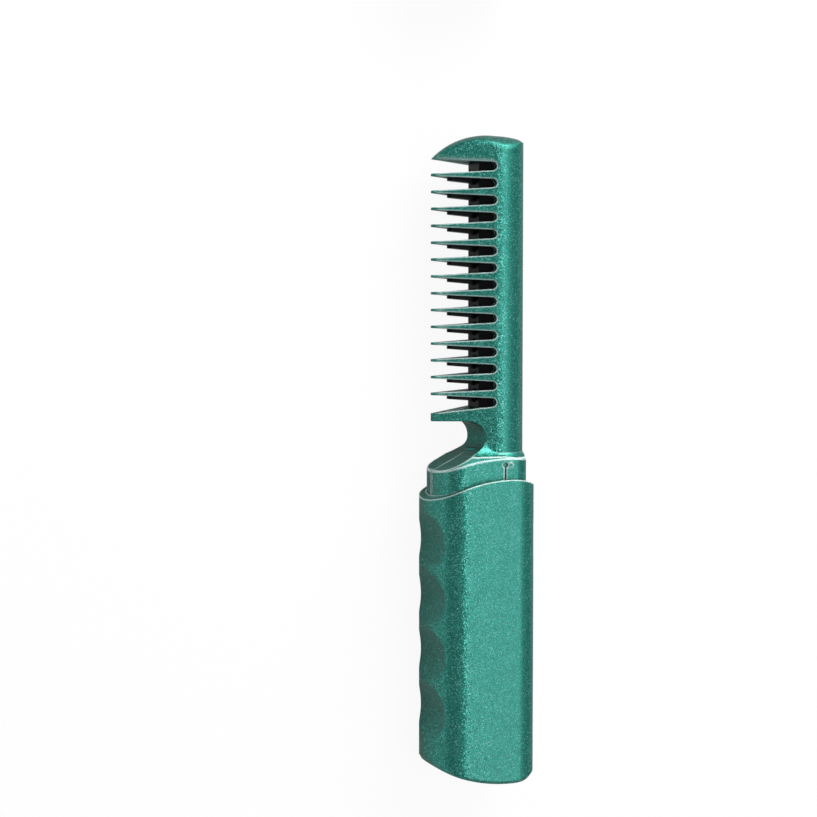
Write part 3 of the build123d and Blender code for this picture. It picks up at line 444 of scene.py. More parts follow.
@dataclass(frozen=True)
class PearlLacquer(Finish):
    """A lacquer full of fine flakes under a clear coat.

    The scoops are on the -X side. A span says where a zone starts and where it is whole, or for the
    notch where it begins and ends along the comb.
    """

    name: str = "pearl_lacquer"
    slot: Slot = Slot.PEARL
    deep: Colour = srgb(24, 94, 84)
    body: Colour = srgb(34, 119, 107)
    body_from: float = 0.45
    light: Colour = srgb(48, 142, 129)
    light_from: float = 0.86
    glint: Colour = srgb(120, 200, 190)
    grazing: Colour = (0.16, 0.2, 0.2)
    # Near-white colour of the painted highlight along crisp edges.
    rim: Colour = srgb(228, 250, 247)
    flake: float = 0.2 * MM
    lean: float = 0.3
    cloud: float = 5 * MM
    cloud_share: float = 0.12
    edge: float = 0.65 * MM
    # The bend span and the metal at an edge set the painted edge highlight.
    edge_bend: Span = (0.995, 0.955)
    edge_metallic: float = 0.1
    soft_edge: float = 2.2 * MM
    soft_side: Span = (-7.5 * MM, -10 * MM)
    soft_top: Span = (39.4 * MM, 37.4 * MM)
    soft_end: Span = (138 * MM, 142 * MM)
    notch: Span = (53 * MM, 65.5 * MM)
    notch_fade: float = 1 * MM
    seam: Span = (1.0 * MM, 1.6 * MM)
    seam_middle: float = 12.4 * MM
    base: Span = (-40 * MM, -38 * MM)
    crown: float = 0.42
    crown_side: Span = (-6.5 * MM, -12.5 * MM)
    crown_top: Span = (58 * MM, 54 * MM)
    metallic: float = 0.88
    roughness: float = 0.34
    coat: float = 0.25
    coat_roughness: float = 0.16

    def shade(self, tree: ShaderTree) -> Socket:
        """Adds the flakes, their lean, the clear coat, the eased edges and a painted highlight on crisp
        edges.

        Args:
            tree: The tree to add to.

        Returns:
            The shader socket.
        """
        cells = {"Vector": tree.place, "Scale": 1 / self.flake}
        random = tree.add("ShaderNodeTexVoronoi", cells).outputs["Color"]
        lean = tree.vector("SCALE", tree.vector("SUBTRACT", random, (0.5, 0.5, 0.5)), Scale=self.lean)
        softness = self.softness(tree)
        rounded = self.rounded(tree, softness)
        crowned = self.crowned(tree, rounded)
        edge_highlight = self.painted_edge_highlight(tree, rounded, softness)
        look = {
            # Painted highlight: crisp edges are mixed to a near-white colour and lose their metal.
            "Base Color": tree.mix(Blend.RGBA, edge_highlight, self.flake_colour(tree, random), (*self.rim, 1.0)),
            "Metallic": tree.fade(edge_highlight, (0.0, 1.0), (self.metallic, self.edge_metallic)),
            "Roughness": self.roughness,
            "Specular Tint": (*self.grazing, 1.0),
            "Normal": tree.turned(crowned, lean),
            "Coat Weight": self.coat,
            "Coat Roughness": self.coat_roughness,
            "Coat Normal": crowned,
        }
        return tree.add("ShaderNodeBsdfPrincipled", look).outputs[0]

    def flake_colour(self, tree: ShaderTree, random: Socket) -> Socket:
        """Gives each flake its tone, over a faint cloud.

        Args:
            tree: The tree to add to.
            random: The flake's own random colour.

        Returns:
            The colour socket.
        """
        clouds = {"Vector": tree.place, "Scale": 1 / self.cloud, "Detail": 2.0}
        cloud = tree.add("ShaderNodeTexNoise", clouds).outputs["Fac"]
        tone = tree.add("ShaderNodeSeparateColor", {"Color": random}).outputs["Red"]
        clouded = tree.math("MULTIPLY_ADD", cloud, self.cloud_share, tone)
        share = tree.math("SUBTRACT", clouded, self.cloud_share / 2, clamp=True)
        middle = [(self.body_from, self.body), (self.light_from, self.light)]
        return tree.ramp(share, [(0.0, self.deep), *middle, (1.0, self.glint)])

    def zone(self, tree: ShaderTree, side: Span, top: Span) -> Socket:
        """Gives 1 on the scooped side below a height, and fades to 0 elsewhere."""
        return tree.math("MULTIPLY", tree.fade(tree.axes["X"], side), tree.fade(tree.axes["Y"], top))

    def softness(self, tree: ShaderTree) -> Socket:
        """Gives 1 where edges are rounded widely: on the scooped side and at the comb's end."""
        side = self.zone(tree, self.soft_side, self.soft_top)
        return tree.math("MAXIMUM", tree.fade(tree.axes["Y"], self.soft_end), side)

    def rounded(self, tree: ShaderTree, softness: Socket) -> Socket:
        """Rounds the edges, and widely where they are soft."""
        crisp, soft = tree.bevel(self.edge), tree.bevel(self.soft_edge, samples=6)
        return tree.vector("NORMALIZE", tree.mix(Blend.VECTOR, softness, crisp, soft))

    def crowned(self, tree: ShaderTree, normal: Socket) -> Socket:
        """Turns the flat faces a little towards the scooped side, as if they were crowned there."""
        tilt = tree.math("MULTIPLY", self.zone(tree, self.crown_side, self.crown_top), -self.crown)
        return tree.turned(normal, tree.add("ShaderNodeCombineXYZ", {"X": tilt}).outputs[0])

    def painted_edge_highlight(self, tree: ShaderTree, rounded: Socket, softness: Socket) -> Socket:
        """Gives the share of painted highlight on crisp edges, a near-white colour with less metal.

        Args:
            tree: The tree to add to.
            rounded: The rounded normal.
            softness: Where edges are rounded widely.

        Returns:
            The share's socket.
        """
        plain = tree.add("ShaderNodeNewGeometry").outputs["Normal"]
        match = tree.add("ShaderNodeVectorMath", {0: plain, 1: rounded}, operation="DOT_PRODUCT")
        edge = tree.fade(match.outputs["Value"], self.edge_bend)
        return tree.math("MULTIPLY", edge, self.highlight_room(tree, softness))

    def highlight_room(self, tree: ShaderTree, softness: Socket) -> Socket:
        """Gives 1 where edges get the painted highlight: crisp, and off the notch, the seam and the base.

        Args:
            tree: The tree to add to.
            softness: Where edges are rounded widely.

        Returns:
            The share's socket.
        """
        along = tree.axes["Y"]
        aside = tree.math("ABSOLUTE", tree.math("SUBTRACT", tree.axes["Z"], self.seam_middle))
        low, high = self.notch
        below = tree.fade(along, (low + self.notch_fade, low))
        above = tree.fade(along, (high - self.notch_fade, high))
        clear = tree.math("MAXIMUM", below, tree.math("MULTIPLY", above, tree.fade(aside, self.seam)))
        crisp = tree.math("SUBTRACT", 1.0, softness)
        return tree.math("MULTIPLY", tree.math("MULTIPLY", clear, crisp), tree.fade(along, self.base))


@dataclass(frozen=True)
class Moulding(Finish):
    """A moulded, drawn, coated or sintered surface with a faint grain."""

    name: str
    slot: Slot
    tone: Colour
    second: Colour
    roughness: float = 0.5
    metallic: float = 0.0
    coat: float = 0.0
    grain: float = 0.5 * MM
    depth: float = 0.01 * MM
    stretch: Point = (1.0, 1.0, 1.0)
    edge: float = 0.1 * MM
    mirror: float = 0.5
    tones: Span = (0.3, 0.7)

    def shade(self, tree: ShaderTree) -> Socket:
        """Adds the grain to the colour and the relief.

        Args:
            tree: The tree to add to.

        Returns:
            The shader socket.
        """
        drawn = tree.add("ShaderNodeMapping", {"Vector": tree.place, "Scale": self.stretch}).outputs[0]
        noise = {"Vector": drawn, "Scale": 1 / self.grain, "Detail": 3.0}
        grain = tree.add("ShaderNodeTexNoise", noise).outputs["Fac"]
        heights = {"Height": grain, "Distance": self.depth, "Strength": 1.0, "Normal": tree.bevel(self.edge)}
        look = {
            "Base Color": tree.ramp(grain, list(zip(self.tones, (self.tone, self.second)))),
            "Metallic": self.metallic,
            "Roughness": self.roughness,
            "Specular IOR Level": self.mirror,
            "Coat Weight": self.coat,
            "Coat Roughness": 0.05,
            "Normal": tree.add("ShaderNodeBump", heights).outputs[0],
        }
        return tree.add("ShaderNodeBsdfPrincipled", look).outputs[0]


@dataclass(frozen=True)
class SolderMask(Finish):
    """A circuit board's lacquer over faint tracks."""

    name: str = "solder_mask"
    slot: Slot = Slot.BOARD
    mask: Colour = srgb(16, 84, 46)
    track: Colour = srgb(40, 128, 66)
    pitch: float = 1.2 * MM
    length: float = 4.8 * MM
    width: float = 0.2 * MM

    def shade(self, tree: ShaderTree) -> Socket:
        """Adds the tracks as a broken grid under the lacquer.

        Args:
            tree: The tree to add to.

        Returns:
            The shader socket.
        """
        upright = {"Vector": tree.place, "Rotation": (0.0, math.pi / 2, 0.0)}
        turned = tree.add("ShaderNodeMapping", upright).outputs[0]
        grid = {"Scale": 1.0, "Brick Width": self.length, "Row Height": self.pitch, "Mortar Size": self.width}
        tracks = tree.add("ShaderNodeTexBrick", {"Vector": turned, **grid}).outputs["Fac"]
        colour = tree.ramp(tracks, [(0.0, self.mask), (1.0, self.track)])
        lacquer = {"Base Color": colour, "Roughness": 0.35, "Coat Weight": 0.3}
        return tree.add("ShaderNodeBsdfPrincipled", lacquer).outputs[0]


@dataclass(frozen=True)
class LitSegment(Finish):
    """A lit display segment with a faint grain."""

    name: str = "lit_segment"
    slot: Slot = Slot.LENS
    light: Colour = srgb(238, 244, 246)
    rim: Colour = srgb(214, 226, 230)
    tones: Span = (0.3, 0.6)
    grains_per_metre: float = 1500.0
    strength: float = 0.9

    def shade(self, tree: ShaderTree) -> Socket:
        """Adds the light of the segment.

        Args:
            tree: The tree to add to.

        Returns:
            The shader socket.
        """
        noise = {"Vector": tree.place, "Scale": self.grains_per_metre}
        grain = tree.add("ShaderNodeTexNoise", noise).outputs["Fac"]
        colour = tree.ramp(grain, list(zip(self.tones, (self.rim, self.light))))
        lit = {"Emission Color": colour, "Emission Strength": self.strength}
        look = {"Base Color": colour, "Roughness": 0.4, **lit}
        return tree.add("ShaderNodeBsdfPrincipled", look).outputs[0]


class Finishes:
    """The finishes of every piece."""

    PEARL = PearlLacquer()
    CAP_PEARL = PearlLacquer(
        name="pearl_lacquer_cap",
        soft_top=(-200 * MM, -201 * MM),
        soft_end=(299 * MM, 303 * MM),
        crown_top=(400 * MM, 390 * MM),
    )
    HEATER = Moulding(
        "ceramic_black", Slot.HEATER, srgb(8, 9, 10), srgb(15, 16, 18), 0.28,
        grain=0.4 * MM, depth=0.004 * MM, mirror=0.06,
    )
    LENS = Moulding(
        "lens_gloss", Slot.LENS, srgb(4, 4, 6), srgb(7, 7, 9), 0.06,
        grain=3 * MM, depth=0.001 * MM, mirror=0.2,
    )
    FILM = Moulding("amber_film", Slot.FILM, srgb(196, 126, 38), srgb(222, 156, 62), 0.3, 0.0, 0.3)
    ELECTRODE = Moulding(
        "rolled_aluminium", Slot.ELECTRODE, srgb(196, 197, 200), srgb(226, 227, 230), 0.3, 1.0
    )
    CERAMIC = Moulding(
        "sintered_ceramic", Slot.CERAMIC, srgb(62, 58, 54), srgb(96, 92, 86), 0.8, depth=0.03 * MM
    )
    BEAD = Moulding("bead_glass", Slot.BEAD, srgb(214, 176, 108), srgb(236, 206, 150), 0.15, 0.0, 0.6)
    LEAD = Moulding("white_silicone", Slot.LEAD, srgb(214, 213, 208), srgb(232, 231, 226), 0.55)
    CHASSIS = Moulding(
        "chassis_plastic", Slot.CHASSIS, srgb(44, 45, 48), srgb(58, 59, 62), 0.55, depth=0.015 * MM
    )
    WRAP = Moulding("shrink_wrap", Slot.WRAP, srgb(34, 84, 158), srgb(44, 98, 176), 0.28, 0.0, 0.4, 2 * MM)
    NICKEL = Moulding(
        "rolled_nickel", Slot.NICKEL, srgb(196, 190, 180), srgb(222, 216, 206), 0.3, 1.0,
        stretch=(1.0, 0.1, 1.0),
    )
    FOAM = Moulding("black_foam", Slot.FOAM, srgb(28, 28, 29), srgb(58, 58, 60), 0.95, depth=0.12 * MM)
    BOARD = SolderMask()
    CHIP = Moulding("chip_epoxy", Slot.CHIP, srgb(26, 26, 28), srgb(38, 38, 40), 0.6, depth=0.012 * MM)
    SCREW = Moulding("plated_steel", Slot.SCREW, srgb(176, 177, 180), srgb(206, 207, 210), 0.28, 1.0)
    DISPLAY = Moulding("display_housing", Slot.DISPLAY, srgb(214, 216, 214), srgb(230, 232, 230), 0.45)
    SWITCH = Moulding("switch_plastic", Slot.SWITCH, srgb(30, 30, 32), srgb(44, 44, 47), 0.5)
    SOCKET = Moulding(
        "socket_plate", Slot.SOCKET, srgb(190, 191, 194), srgb(216, 217, 220), 0.25, 1.0,
        stretch=(1.0, 0.2, 1.0),
    )
    GOLD = Moulding("contact_gold", Slot.SOCKET, srgb(226, 178, 84), srgb(244, 206, 122), 0.25, 1.0)
    DIGIT = LitSegment()


# Sub-assemblies


class SubAssembly(ABC):
    """A group of pieces that are built and dressed together."""

    OUTWARD = 0.3

    @abstractmethod
    def build(self) -> None:
        """Builds and dresses every piece of the group."""

    def hand_over(self, piece: Piece, finish: Finish, body: Body, replaced: tuple[str, ...] = ()) -> Piece:
        """Dresses a finished piece and gives it to its body.

        Args:
            piece: The piece, with its place in its mesh.
            finish: Its finish.
            body: The body that it moves with.
            replaced: The CAD nodes that it stands for.

        Returns:
            The piece.
        """
        piece.data.materials.clear()
        piece.data.materials.append(finish.material())
        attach(piece, body.value)
        if replaced:
            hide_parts(*replaced)
        LOG.info("%s: %d faces, on %s", piece.name, len(piece.data.polygons), body.value)
        return piece

    def skin(self, node: str, finish: Finish, body: Body = Body.COMB, sunk: float = 0.0) -> Piece:
        """Makes a smooth copy of a CAD node and dresses it.

        Args:
            node: The CAD node.
            finish: Its finish.
            body: The body that it moves with.
            sunk: How far its outer face goes back, to leave room for what stands on it.

        Returns:
            The new piece.
        """
        piece = link_object(node + "_skin", merged_mesh(node, node + "_skin"))
        if sunk:
            for vertex in [v for v in piece.data.vertices if v.normal.x > self.OUTWARD]:
                vertex.co.x -= sunk
            piece.data.update()
        Smoothing().run(piece)
        return self.hand_over(piece, finish, body, (node,))


@dataclass
class OuterShells(SubAssembly):
    """The grip, the two halves of the comb body and the pull-off cap."""

    comb_nodes: tuple[str, ...] = ("handle_sleeve", "comb_shell_left", "comb_shell_right")
    cap_node: str = "cap_shell"

    def build(self) -> None:
        """Dresses the lacquered shells."""
        for node in self.comb_nodes:
            self.skin(node, Finishes.PEARL)
        self.skin(self.cap_node, Finishes.CAP_PEARL, Body.CAP)


@dataclass
class HeaterPack(SubAssembly):
    """The heated comb with its element, sensor and leads."""

    def build(self) -> None:
        """Dresses the heater from its teeth inwards."""
        self.skin("heater_comb", Finishes.HEATER)
        self.skin("heater_film", Finishes.FILM)
        self.skin("electrode_plates", Finishes.ELECTRODE)
        self.skin("ptc_elements", Finishes.CERAMIC)
        self.skin("thermistor", Finishes.BEAD)
        self.skin("heater_leads", Finishes.LEAD)


@dataclass
class PowerPack(SubAssembly):
    """The chassis with the cell, its tabs and its foam pad."""

    def build(self) -> None:
        """Dresses the chassis and what it carries."""
        self.skin("inner_chassis", Finishes.CHASSIS)
        self.skin("battery_cell", Finishes.WRAP)
        self.skin("battery_tabs", Finishes.NICKEL)
        self.skin("battery_foam", Finishes.FOAM)


@dataclass
class ChargingSocket(SubAssembly):
    """The socket in the base with the contacts on its tongue."""

    contacts: int = 12
    pitch: float = 0.5 * MM
    width: float = 0.27 * MM
    length: float = 3.6 * MM
    height: float = 0.04 * MM
    setback: float = 0.5 * MM

    def build(self) -> None:
        """Dresses the socket and lays both rows of contacts."""
        self.skin("usb_socket", Finishes.SOCKET)
        self.skin("usb_tongue", Finishes.CHIP)
        low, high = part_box("usb_tongue")
        for side, x in (("front", high.x), ("back", low.x)):
            middle = Vector((x, low.y + self.setback + self.length / 2, (low.z + high.z) / 2))
            piece = self.contact_row("contacts_" + side, middle)
            self.hand_over(piece, Finishes.GOLD, Body.COMB)

    def contact_row(self, name: str, middle: Vector) -> Piece:
        """Grows one row of contacts.

        Args:
            name: The piece's name.
            middle: The middle of the row.

        Returns:
            The row as a plain mesh.
        """
        first = middle - Vector((0, 0, self.pitch * (self.contacts - 1) / 2))
        sizes = {
            "Count": self.contacts,
            "First": tuple(first),
            "Step": (0.0, 0.0, self.pitch),
            "Contact": (self.height, self.length, self.width),
            "Finish": Finishes.GOLD.material(),
        }
        tree = GrowthTree(name + "_row", sizes)
        given = tree.given
        run = {"Count": given["Count"], "Start Location": given["First"], "Offset": given["Step"]}
        line = tree.add("GeometryNodeMeshLine", run).outputs[0]
        contact = tree.add("GeometryNodeMeshCube", {"Size": given["Contact"]}).outputs[0]
        row = tree.add("GeometryNodeInstanceOnPoints", {"Points": line, "Instance": contact})
        tree.close(row.outputs[0])
        return tree.grow(name, [(0, 0, 0)])


@dataclass
class ControlBoard(SubAssembly):
    """The board with its parts, the push switch and the display module."""

    def build(self) -> None:
        """Dresses the board and what is soldered to it."""
        self.skin("main_board", Finishes.BOARD)
        self.skin("board_parts", Finishes.CHIP)
        self.skin("display_module", Finishes.DISPLAY)
        self.skin("tact_switch", Finishes.SWITCH)


@dataclass
class ScrewSet(SubAssembly):
    """The cross-head screws of one CAD node.

    The core, the ridge and the line that the ridge follows are shares of the shank's radius. The recess
    is given long, wide and deep, as shares of the head's radius, radius and height.
    """

    node: str
    thread_pitch: float = 0.6 * MM
    core: float = 0.84
    ridge: float = 0.12
    ridge_line: float = 0.86
    recess: Point = (1.1, 0.3, 0.9)
    head_sides: int = 24
    shank_sides: int = 16
    ridge_sides: int = 4
    turn_points: int = 12

    def build(self) -> None:
        """Grows a threaded screw in the place of each plain one."""
        plain = merged_mesh(self.node, self.node + "_plain")
        for number, solid in enumerate(islands(plain)):
            screw = self.screw(f"{self.node}_{number}", solid)
            self.hand_over(screw, Finishes.SCREW, Body.COMB, () if number else (self.node,))

    def screw(self, name: str, solid: list[Vector]) -> Piece:
        """Grows one screw in the room of its plain solid.

        Args:
            name: The piece's name.
            solid: The points of the plain screw.

        Returns:
            The screw in its place.
        """
        low, high = (Vector([pick(p[i] for p in solid) for i in range(3)]) for pick in (min, max))
        size = high - low
        middle = (low + high) / 2
        along = max(range(3), key=lambda i: size[i])
        across = (along + 1) % 3
        ends = [[p for p in solid if abs(p[along] - end[along]) < SAME_PLACE] for end in (low, high)]
        reach = [max(abs(p[across] - middle[across]) for p in end) for end in ends]
        head_radius, shank_radius = max(reach), min(reach)
        rim = [p[along] for p in solid if abs(abs(p[across] - middle[across]) - head_radius) < SAME_PLACE]
        head_height = max(rim) - min(rim)
        upwards = reach[1] >= reach[0]
        top = middle.copy()
        top[along] = high[along] if upwards else low[along]
        towards = Vector((0, 0, 0))
        towards[along] = 1 if upwards else -1
        piece = self.grown(name, (head_radius, head_height), (shank_radius, size[along] - head_height))
        turn = towards.to_track_quat("Z", "Y").to_matrix().to_4x4()
        piece.data.transform(Matrix.Translation(top) @ turn)
        Smoothing().run(piece)
        return piece

    def grown(self, name: str, head: Span, shank: Span) -> Piece:
        """Grows an upright screw that hangs from the middle of its head's outer face.

        Args:
            name: The piece's name.
            head: The head's radius and height.
            shank: The shank's radius and length.

        Returns:
            The screw as a plain mesh.
        """
        head_radius, head_height = head
        shank_radius, shank_length = shank
        long, wide = (share * head_radius for share in self.recess[:2])
        deep = self.recess[2] * head_height
        sizes = {
            "Head Radius": head_radius,
            "Head Height": head_height,
            "Shank Radius": shank_radius * self.core,
            "Shank Length": shank_length,
            "Thread Radius": shank_radius * self.ridge,
            "Thread Line": shank_radius * self.ridge_line,
            "Turns": shank_length / self.thread_pitch,
            "Recess Long": (long, wide, deep),
            "Recess Cross": (wide, long, deep),
            "Finish": Finishes.SCREW.material(),
        }
        tree = GrowthTree(name + "_tree", sizes)
        bar = self.rod(tree, self.shank_sides, "Shank Radius", "Shank Length")
        drops = (
            (self.crossed_head(tree, head_height / 2), head_height / 2),
            (bar, head_height + shank_length / 2),
            (self.thread(tree), head_height + shank_length),
        )
        parts = [tree.moved(part, -drop) for part, drop in drops]
        tree.close(tree.add("GeometryNodeJoinGeometry", {0: parts}).outputs[0])
        return tree.grow(name, [(0, 0, 0)])

    def rod(self, tree: GrowthTree, sides: int, radius: str, depth: str) -> Socket:
        """Makes a round bar from two named inputs."""
        inputs = {"Vertices": sides, "Radius": tree.given[radius], "Depth": tree.given[depth]}
        return tree.add("GeometryNodeMeshCylinder", inputs).outputs[0]

    def crossed_head(self, tree: GrowthTree, top: float) -> Socket:
        """Makes the head and cuts the cross into its outer face.

        Args:
            tree: The tree to add to.
            top: How high the outer face is above the head's middle.

        Returns:
            The head's socket.
        """
        head = self.rod(tree, self.head_sides, "Head Radius", "Head Height")
        sizes = (tree.given["Recess Long"], tree.given["Recess Cross"])
        slots = [tree.add("GeometryNodeMeshCube", {"Size": size}).outputs[0] for size in sizes]
        cut = {0: head, 1: [tree.moved(slot, top) for slot in slots]}
        return tree.add("GeometryNodeMeshBoolean", cut, operation="DIFFERENCE", solver="EXACT").outputs[0]

    def thread(self, tree: GrowthTree) -> Socket:
        """Winds a ridge round the shank.

        Args:
            tree: The tree to add to.

        Returns:
            The ridge's socket.
        """
        winding = {
            "Resolution": self.turn_points,
            "Rotations": tree.given["Turns"],
            "Start Radius": tree.given["Thread Line"],
            "End Radius": tree.given["Thread Line"],
            "Height": tree.given["Shank Length"],
        }
        spiral = tree.add("GeometryNodeCurveSpiral", winding).outputs[0]
        ring = {"Resolution": self.ridge_sides, "Radius": tree.given["Thread Radius"]}
        profile = tree.add("GeometryNodeCurvePrimitiveCircle", ring).outputs[0]
        swept = {"Curve": spiral, "Profile Curve": profile, "Fill Caps": True}
        return tree.add("GeometryNodeCurveToMesh", swept).outputs[0]


@dataclass
class NumberDisplay(SubAssembly):
    """The gloss lens and the lit digits that lie on it."""

    text: str = "180"
    height: float = 7.6 * MM
    width: float = 4.1 * MM
    pitch: float = 4.5 * MM
    stroke: float = 1.1 * MM
    gap: float = 0.14 * MM
    shift: float = 1.4 * MM
    sunk: float = 0.06 * MM
    lift: float = 0.03 * MM
    standoff: float = 2 * MM
    reach: float = 50 * MM
    bluntness: float = 0.02

    LIT = {"1": "bc", "8": "abcdefg", "0": "abcdef"}

    def build(self) -> None:
        """Dresses the lens and lays the digits on it."""
        lens = self.skin("display_lens", Finishes.LENS, sunk=self.sunk)
        self.hand_over(self.digits(lens), Finishes.DIGIT, Body.COMB)

    def places(self) -> list[tuple[float, float, Lie]]:
        """Works out where the lit segments are.

        Returns:
            Each one's place across and up, and how it lies.
        """
        side = (self.width - self.stroke) / 2
        half = (self.height - self.stroke) / 2
        spots = {
            "a": (0.0, half, Lie.LEVEL),
            "b": (side, half / 2, Lie.UPRIGHT),
            "c": (side, -half / 2, Lie.UPRIGHT),
            "d": (0.0, -half, Lie.LEVEL),
            "e": (-side, -half / 2, Lie.UPRIGHT),
            "f": (-side, half / 2, Lie.UPRIGHT),
            "g": (0.0, 0.0, Lie.LEVEL),
        }
        found = []
        for number, digit in enumerate(self.text):
            start = (number - (len(self.text) - 1) / 2) * self.pitch - self.shift
            for across, up, lie in (spots[key] for key in self.LIT[digit]):
                found.append((start + across, up, lie))
        return found

    def segment(self, length: float) -> Mesh:
        """Makes one pointed segment, in strips that can follow a curved face.

        Args:
            length: The segment's length from point to point.

        Returns:
            The flat mesh.
        """
        half, tip = length / 2, self.stroke / 2
        blunt = self.bluntness * tip
        stations = [-half, -half + tip, -half / 3, half / 3, half - tip, half]
        widths = [blunt, tip, tip, tip, tip, blunt]
        points = [(s, w * side, 0.0) for s, w in zip(stations, widths) for side in (-1, 0, 1)]
        return mesh_of("segment", points, grid_faces(len(stations), 3))

    def digits(self, lens: Piece) -> Piece:
        """Grows the lit segments on the lens.

        Args:
            lens: The lens that they follow.

        Returns:
            The digits as a plain mesh.
        """
        low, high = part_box("display_lens")
        middle = (low + high) / 2
        out = high.x + self.standoff
        level = self.width - self.stroke - 2 * self.gap
        upright = (self.height - self.stroke) / 2 - 2 * self.gap
        pieces = []
        for lie, length in ((Lie.LEVEL, level), (Lie.UPRIGHT, upright)):
            name = "digits_" + lie.name.lower()
            template = link_object(name + "_segment", self.segment(length))
            places = [(across, up) for across, up, turned in self.places() if turned is lie]
            sizes = {
                "Segment": template,
                "Ground": lens,
                "Lift": (self.lift, 0.0, 0.0),
                "Turn": lie.value,
                "Finish": Finishes.DIGIT.material(),
            }
            spots = [(out, middle.y + up, middle.z - across) for across, up in places]
            pieces.append(self.projection(name + "_tree", sizes).grow(name, spots))
            bpy.data.objects.remove(template)
        with bpy.context.temp_override(active_object=pieces[0], selected_editable_objects=pieces):
            bpy.ops.object.join()
        pieces[0].name = "display_digits"
        return pieces[0]

    def projection(self, name: str, sizes: dict[str, object]) -> GrowthTree:
        """Builds the tree that lays segments on a curved face.

        Args:
            name: The tree's name.
            sizes: The tree's inputs.

        Returns:
            The finished tree.
        """
        tree = GrowthTree(name, sizes)
        given = tree.given
        segment, ground = (
            tree.add("GeometryNodeObjectInfo", {"Object": given[key]}).outputs["Geometry"]
            for key in ("Segment", "Ground")
        )
        laying = {"Points": given["Geometry"], "Instance": segment, "Rotation": given["Turn"]}
        laid = tree.add("GeometryNodeInstanceOnPoints", laying).outputs[0]
        real = tree.add("GeometryNodeRealizeInstances", {"Geometry": laid}).outputs[0]
        fall = {"Target Geometry": ground, "Ray Direction": (-1.0, 0.0, 0.0), "Ray Length": self.reach}
        landed = tree.add("GeometryNodeRaycast", fall).outputs["Hit Position"]
        lifted = {"Geometry": real, "Position": tree.vector("ADD", landed, given["Lift"])}
        tree.close(tree.add("GeometryNodeSetPosition", lifted).outputs[0])
        return tree


@dataclass
class PowerButton(SubAssembly):
    """The oval button with its raised power symbol and its plunger.

    A lift is a share of the symbol's height over the button's face, and the foot is the lift of its
    skirt, which reaches into the button.
    """

    outer: float = 3.6 * MM
    inner: float = 2.3 * MM
    bar_width: float = 1.3 * MM
    bar_top: float = 4.2 * MM
    bar_bottom: float = 0.2 * MM
    opening: float = math.radians(33)
    raised: float = 0.16 * MM
    slope: float = 0.22 * MM
    sunk: float = 0.2 * MM
    foot: float = -0.5
    steps: int = 48
    standoff: float = 1 * MM
    crease: float = math.radians(50)

    def build(self) -> None:
        """Dresses the button and raises its symbol."""
        button = self.skin("power_button", Finishes.PEARL, Body.BUTTON, sunk=self.sunk)
        self.skin("switch_plunger", Finishes.SWITCH, Body.BUTTON)
        points = [v.co for v in button.data.vertices]
        ground = BVHTree.FromPolygons(points, [tuple(p.vertices) for p in button.data.polygons])
        for name, rows in (("power_ring", self.ring_rows()), ("power_bar", self.bar_rows())):
            self.hand_over(self.relief(name, rows, ground), Finishes.PEARL, Body.BUTTON)

    def section(self, start: float, end: float) -> list[Span]:
        """Gives a raised band's places and lifts from one edge to the other."""
        crest = [(start + self.slope, 1.0), (end - self.slope, 1.0)]
        return [(start, self.foot), (start, 0.0), *crest, (end, 0.0), (end, self.foot)]

    def ring_rows(self) -> list[list[Point]]:
        """Works out the open ring.

        Returns:
            Rows of places across, up and lifted.
        """
        rows = []
        for step in range(self.steps + 1):
            angle = self.opening + (2 * math.pi - 2 * self.opening) * step / self.steps
            across, up = math.sin(angle), math.cos(angle)
            end = step in (0, self.steps)
            band = self.section(self.inner, self.outer)
            rows.append([(radius * across, radius * up, 0.0 if end else lift) for radius, lift in band])
        return rows

    def bar_rows(self) -> list[list[Point]]:
        """Works out the upright bar.

        Returns:
            Rows of places across, up and lifted.
        """
        half = self.bar_width / 2
        band = self.section(-half, half)
        rows = []
        for up in (self.bar_bottom, self.bar_bottom + self.slope, self.bar_top - self.slope, self.bar_top):
            end = up in (self.bar_bottom, self.bar_top)
            rows.append([(across, up, min(lift, 0.0) if end else lift) for across, lift in band])
        return rows

    def relief(self, name: str, rows: list[list[Point]], ground: BVHTree) -> Piece:
        """Lays rows of points on the button's face.

        Args:
            name: The piece's name.
            rows: Places across, up and lifted, as a grid.
            ground: The button's face.

        Returns:
            The raised piece.
        """
        low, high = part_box("power_button")
        middle = (low + high) / 2
        points = []
        for across, up, lift in (spot for row in rows for spot in row):
            start = Vector((high.x + self.standoff, middle.y + up, middle.z - across))
            hit = ground.ray_cast(start, Vector((-1, 0, 0)))[0]
            points.append((hit.x + lift * self.raised, hit.y, hit.z))
        piece = link_object(name, mesh_of(name, points, grid_faces(len(rows), len(rows[0]))))
        if sum(face.normal.x for face in piece.data.polygons) < 0:
            piece.data.flip_normals()
        Smoothing(self.crease).run(piece)
        return piece


# Studio


@dataclass(frozen=True)
class SoftBox:
    """One soft lamp, its size given level and upright."""

    name: str
    place: Point
    aim: Point
    size: Span
    power: float

    def build(self) -> None:
        """Hangs the lamp and turns it to what it lights."""
        lamp = bpy.data.lights.new(self.name, "AREA")
        lamp.shape = "RECTANGLE"
        lamp.size, lamp.size_y = self.size
        lamp.energy = self.power
        made = bpy.data.objects.new(self.name, lamp)
        made.location = self.place
        made.rotation_euler = (Vector(self.aim) - Vector(self.place)).to_track_quat("-Z", "Y").to_euler()
        bpy.context.scene.collection.objects.link(made)


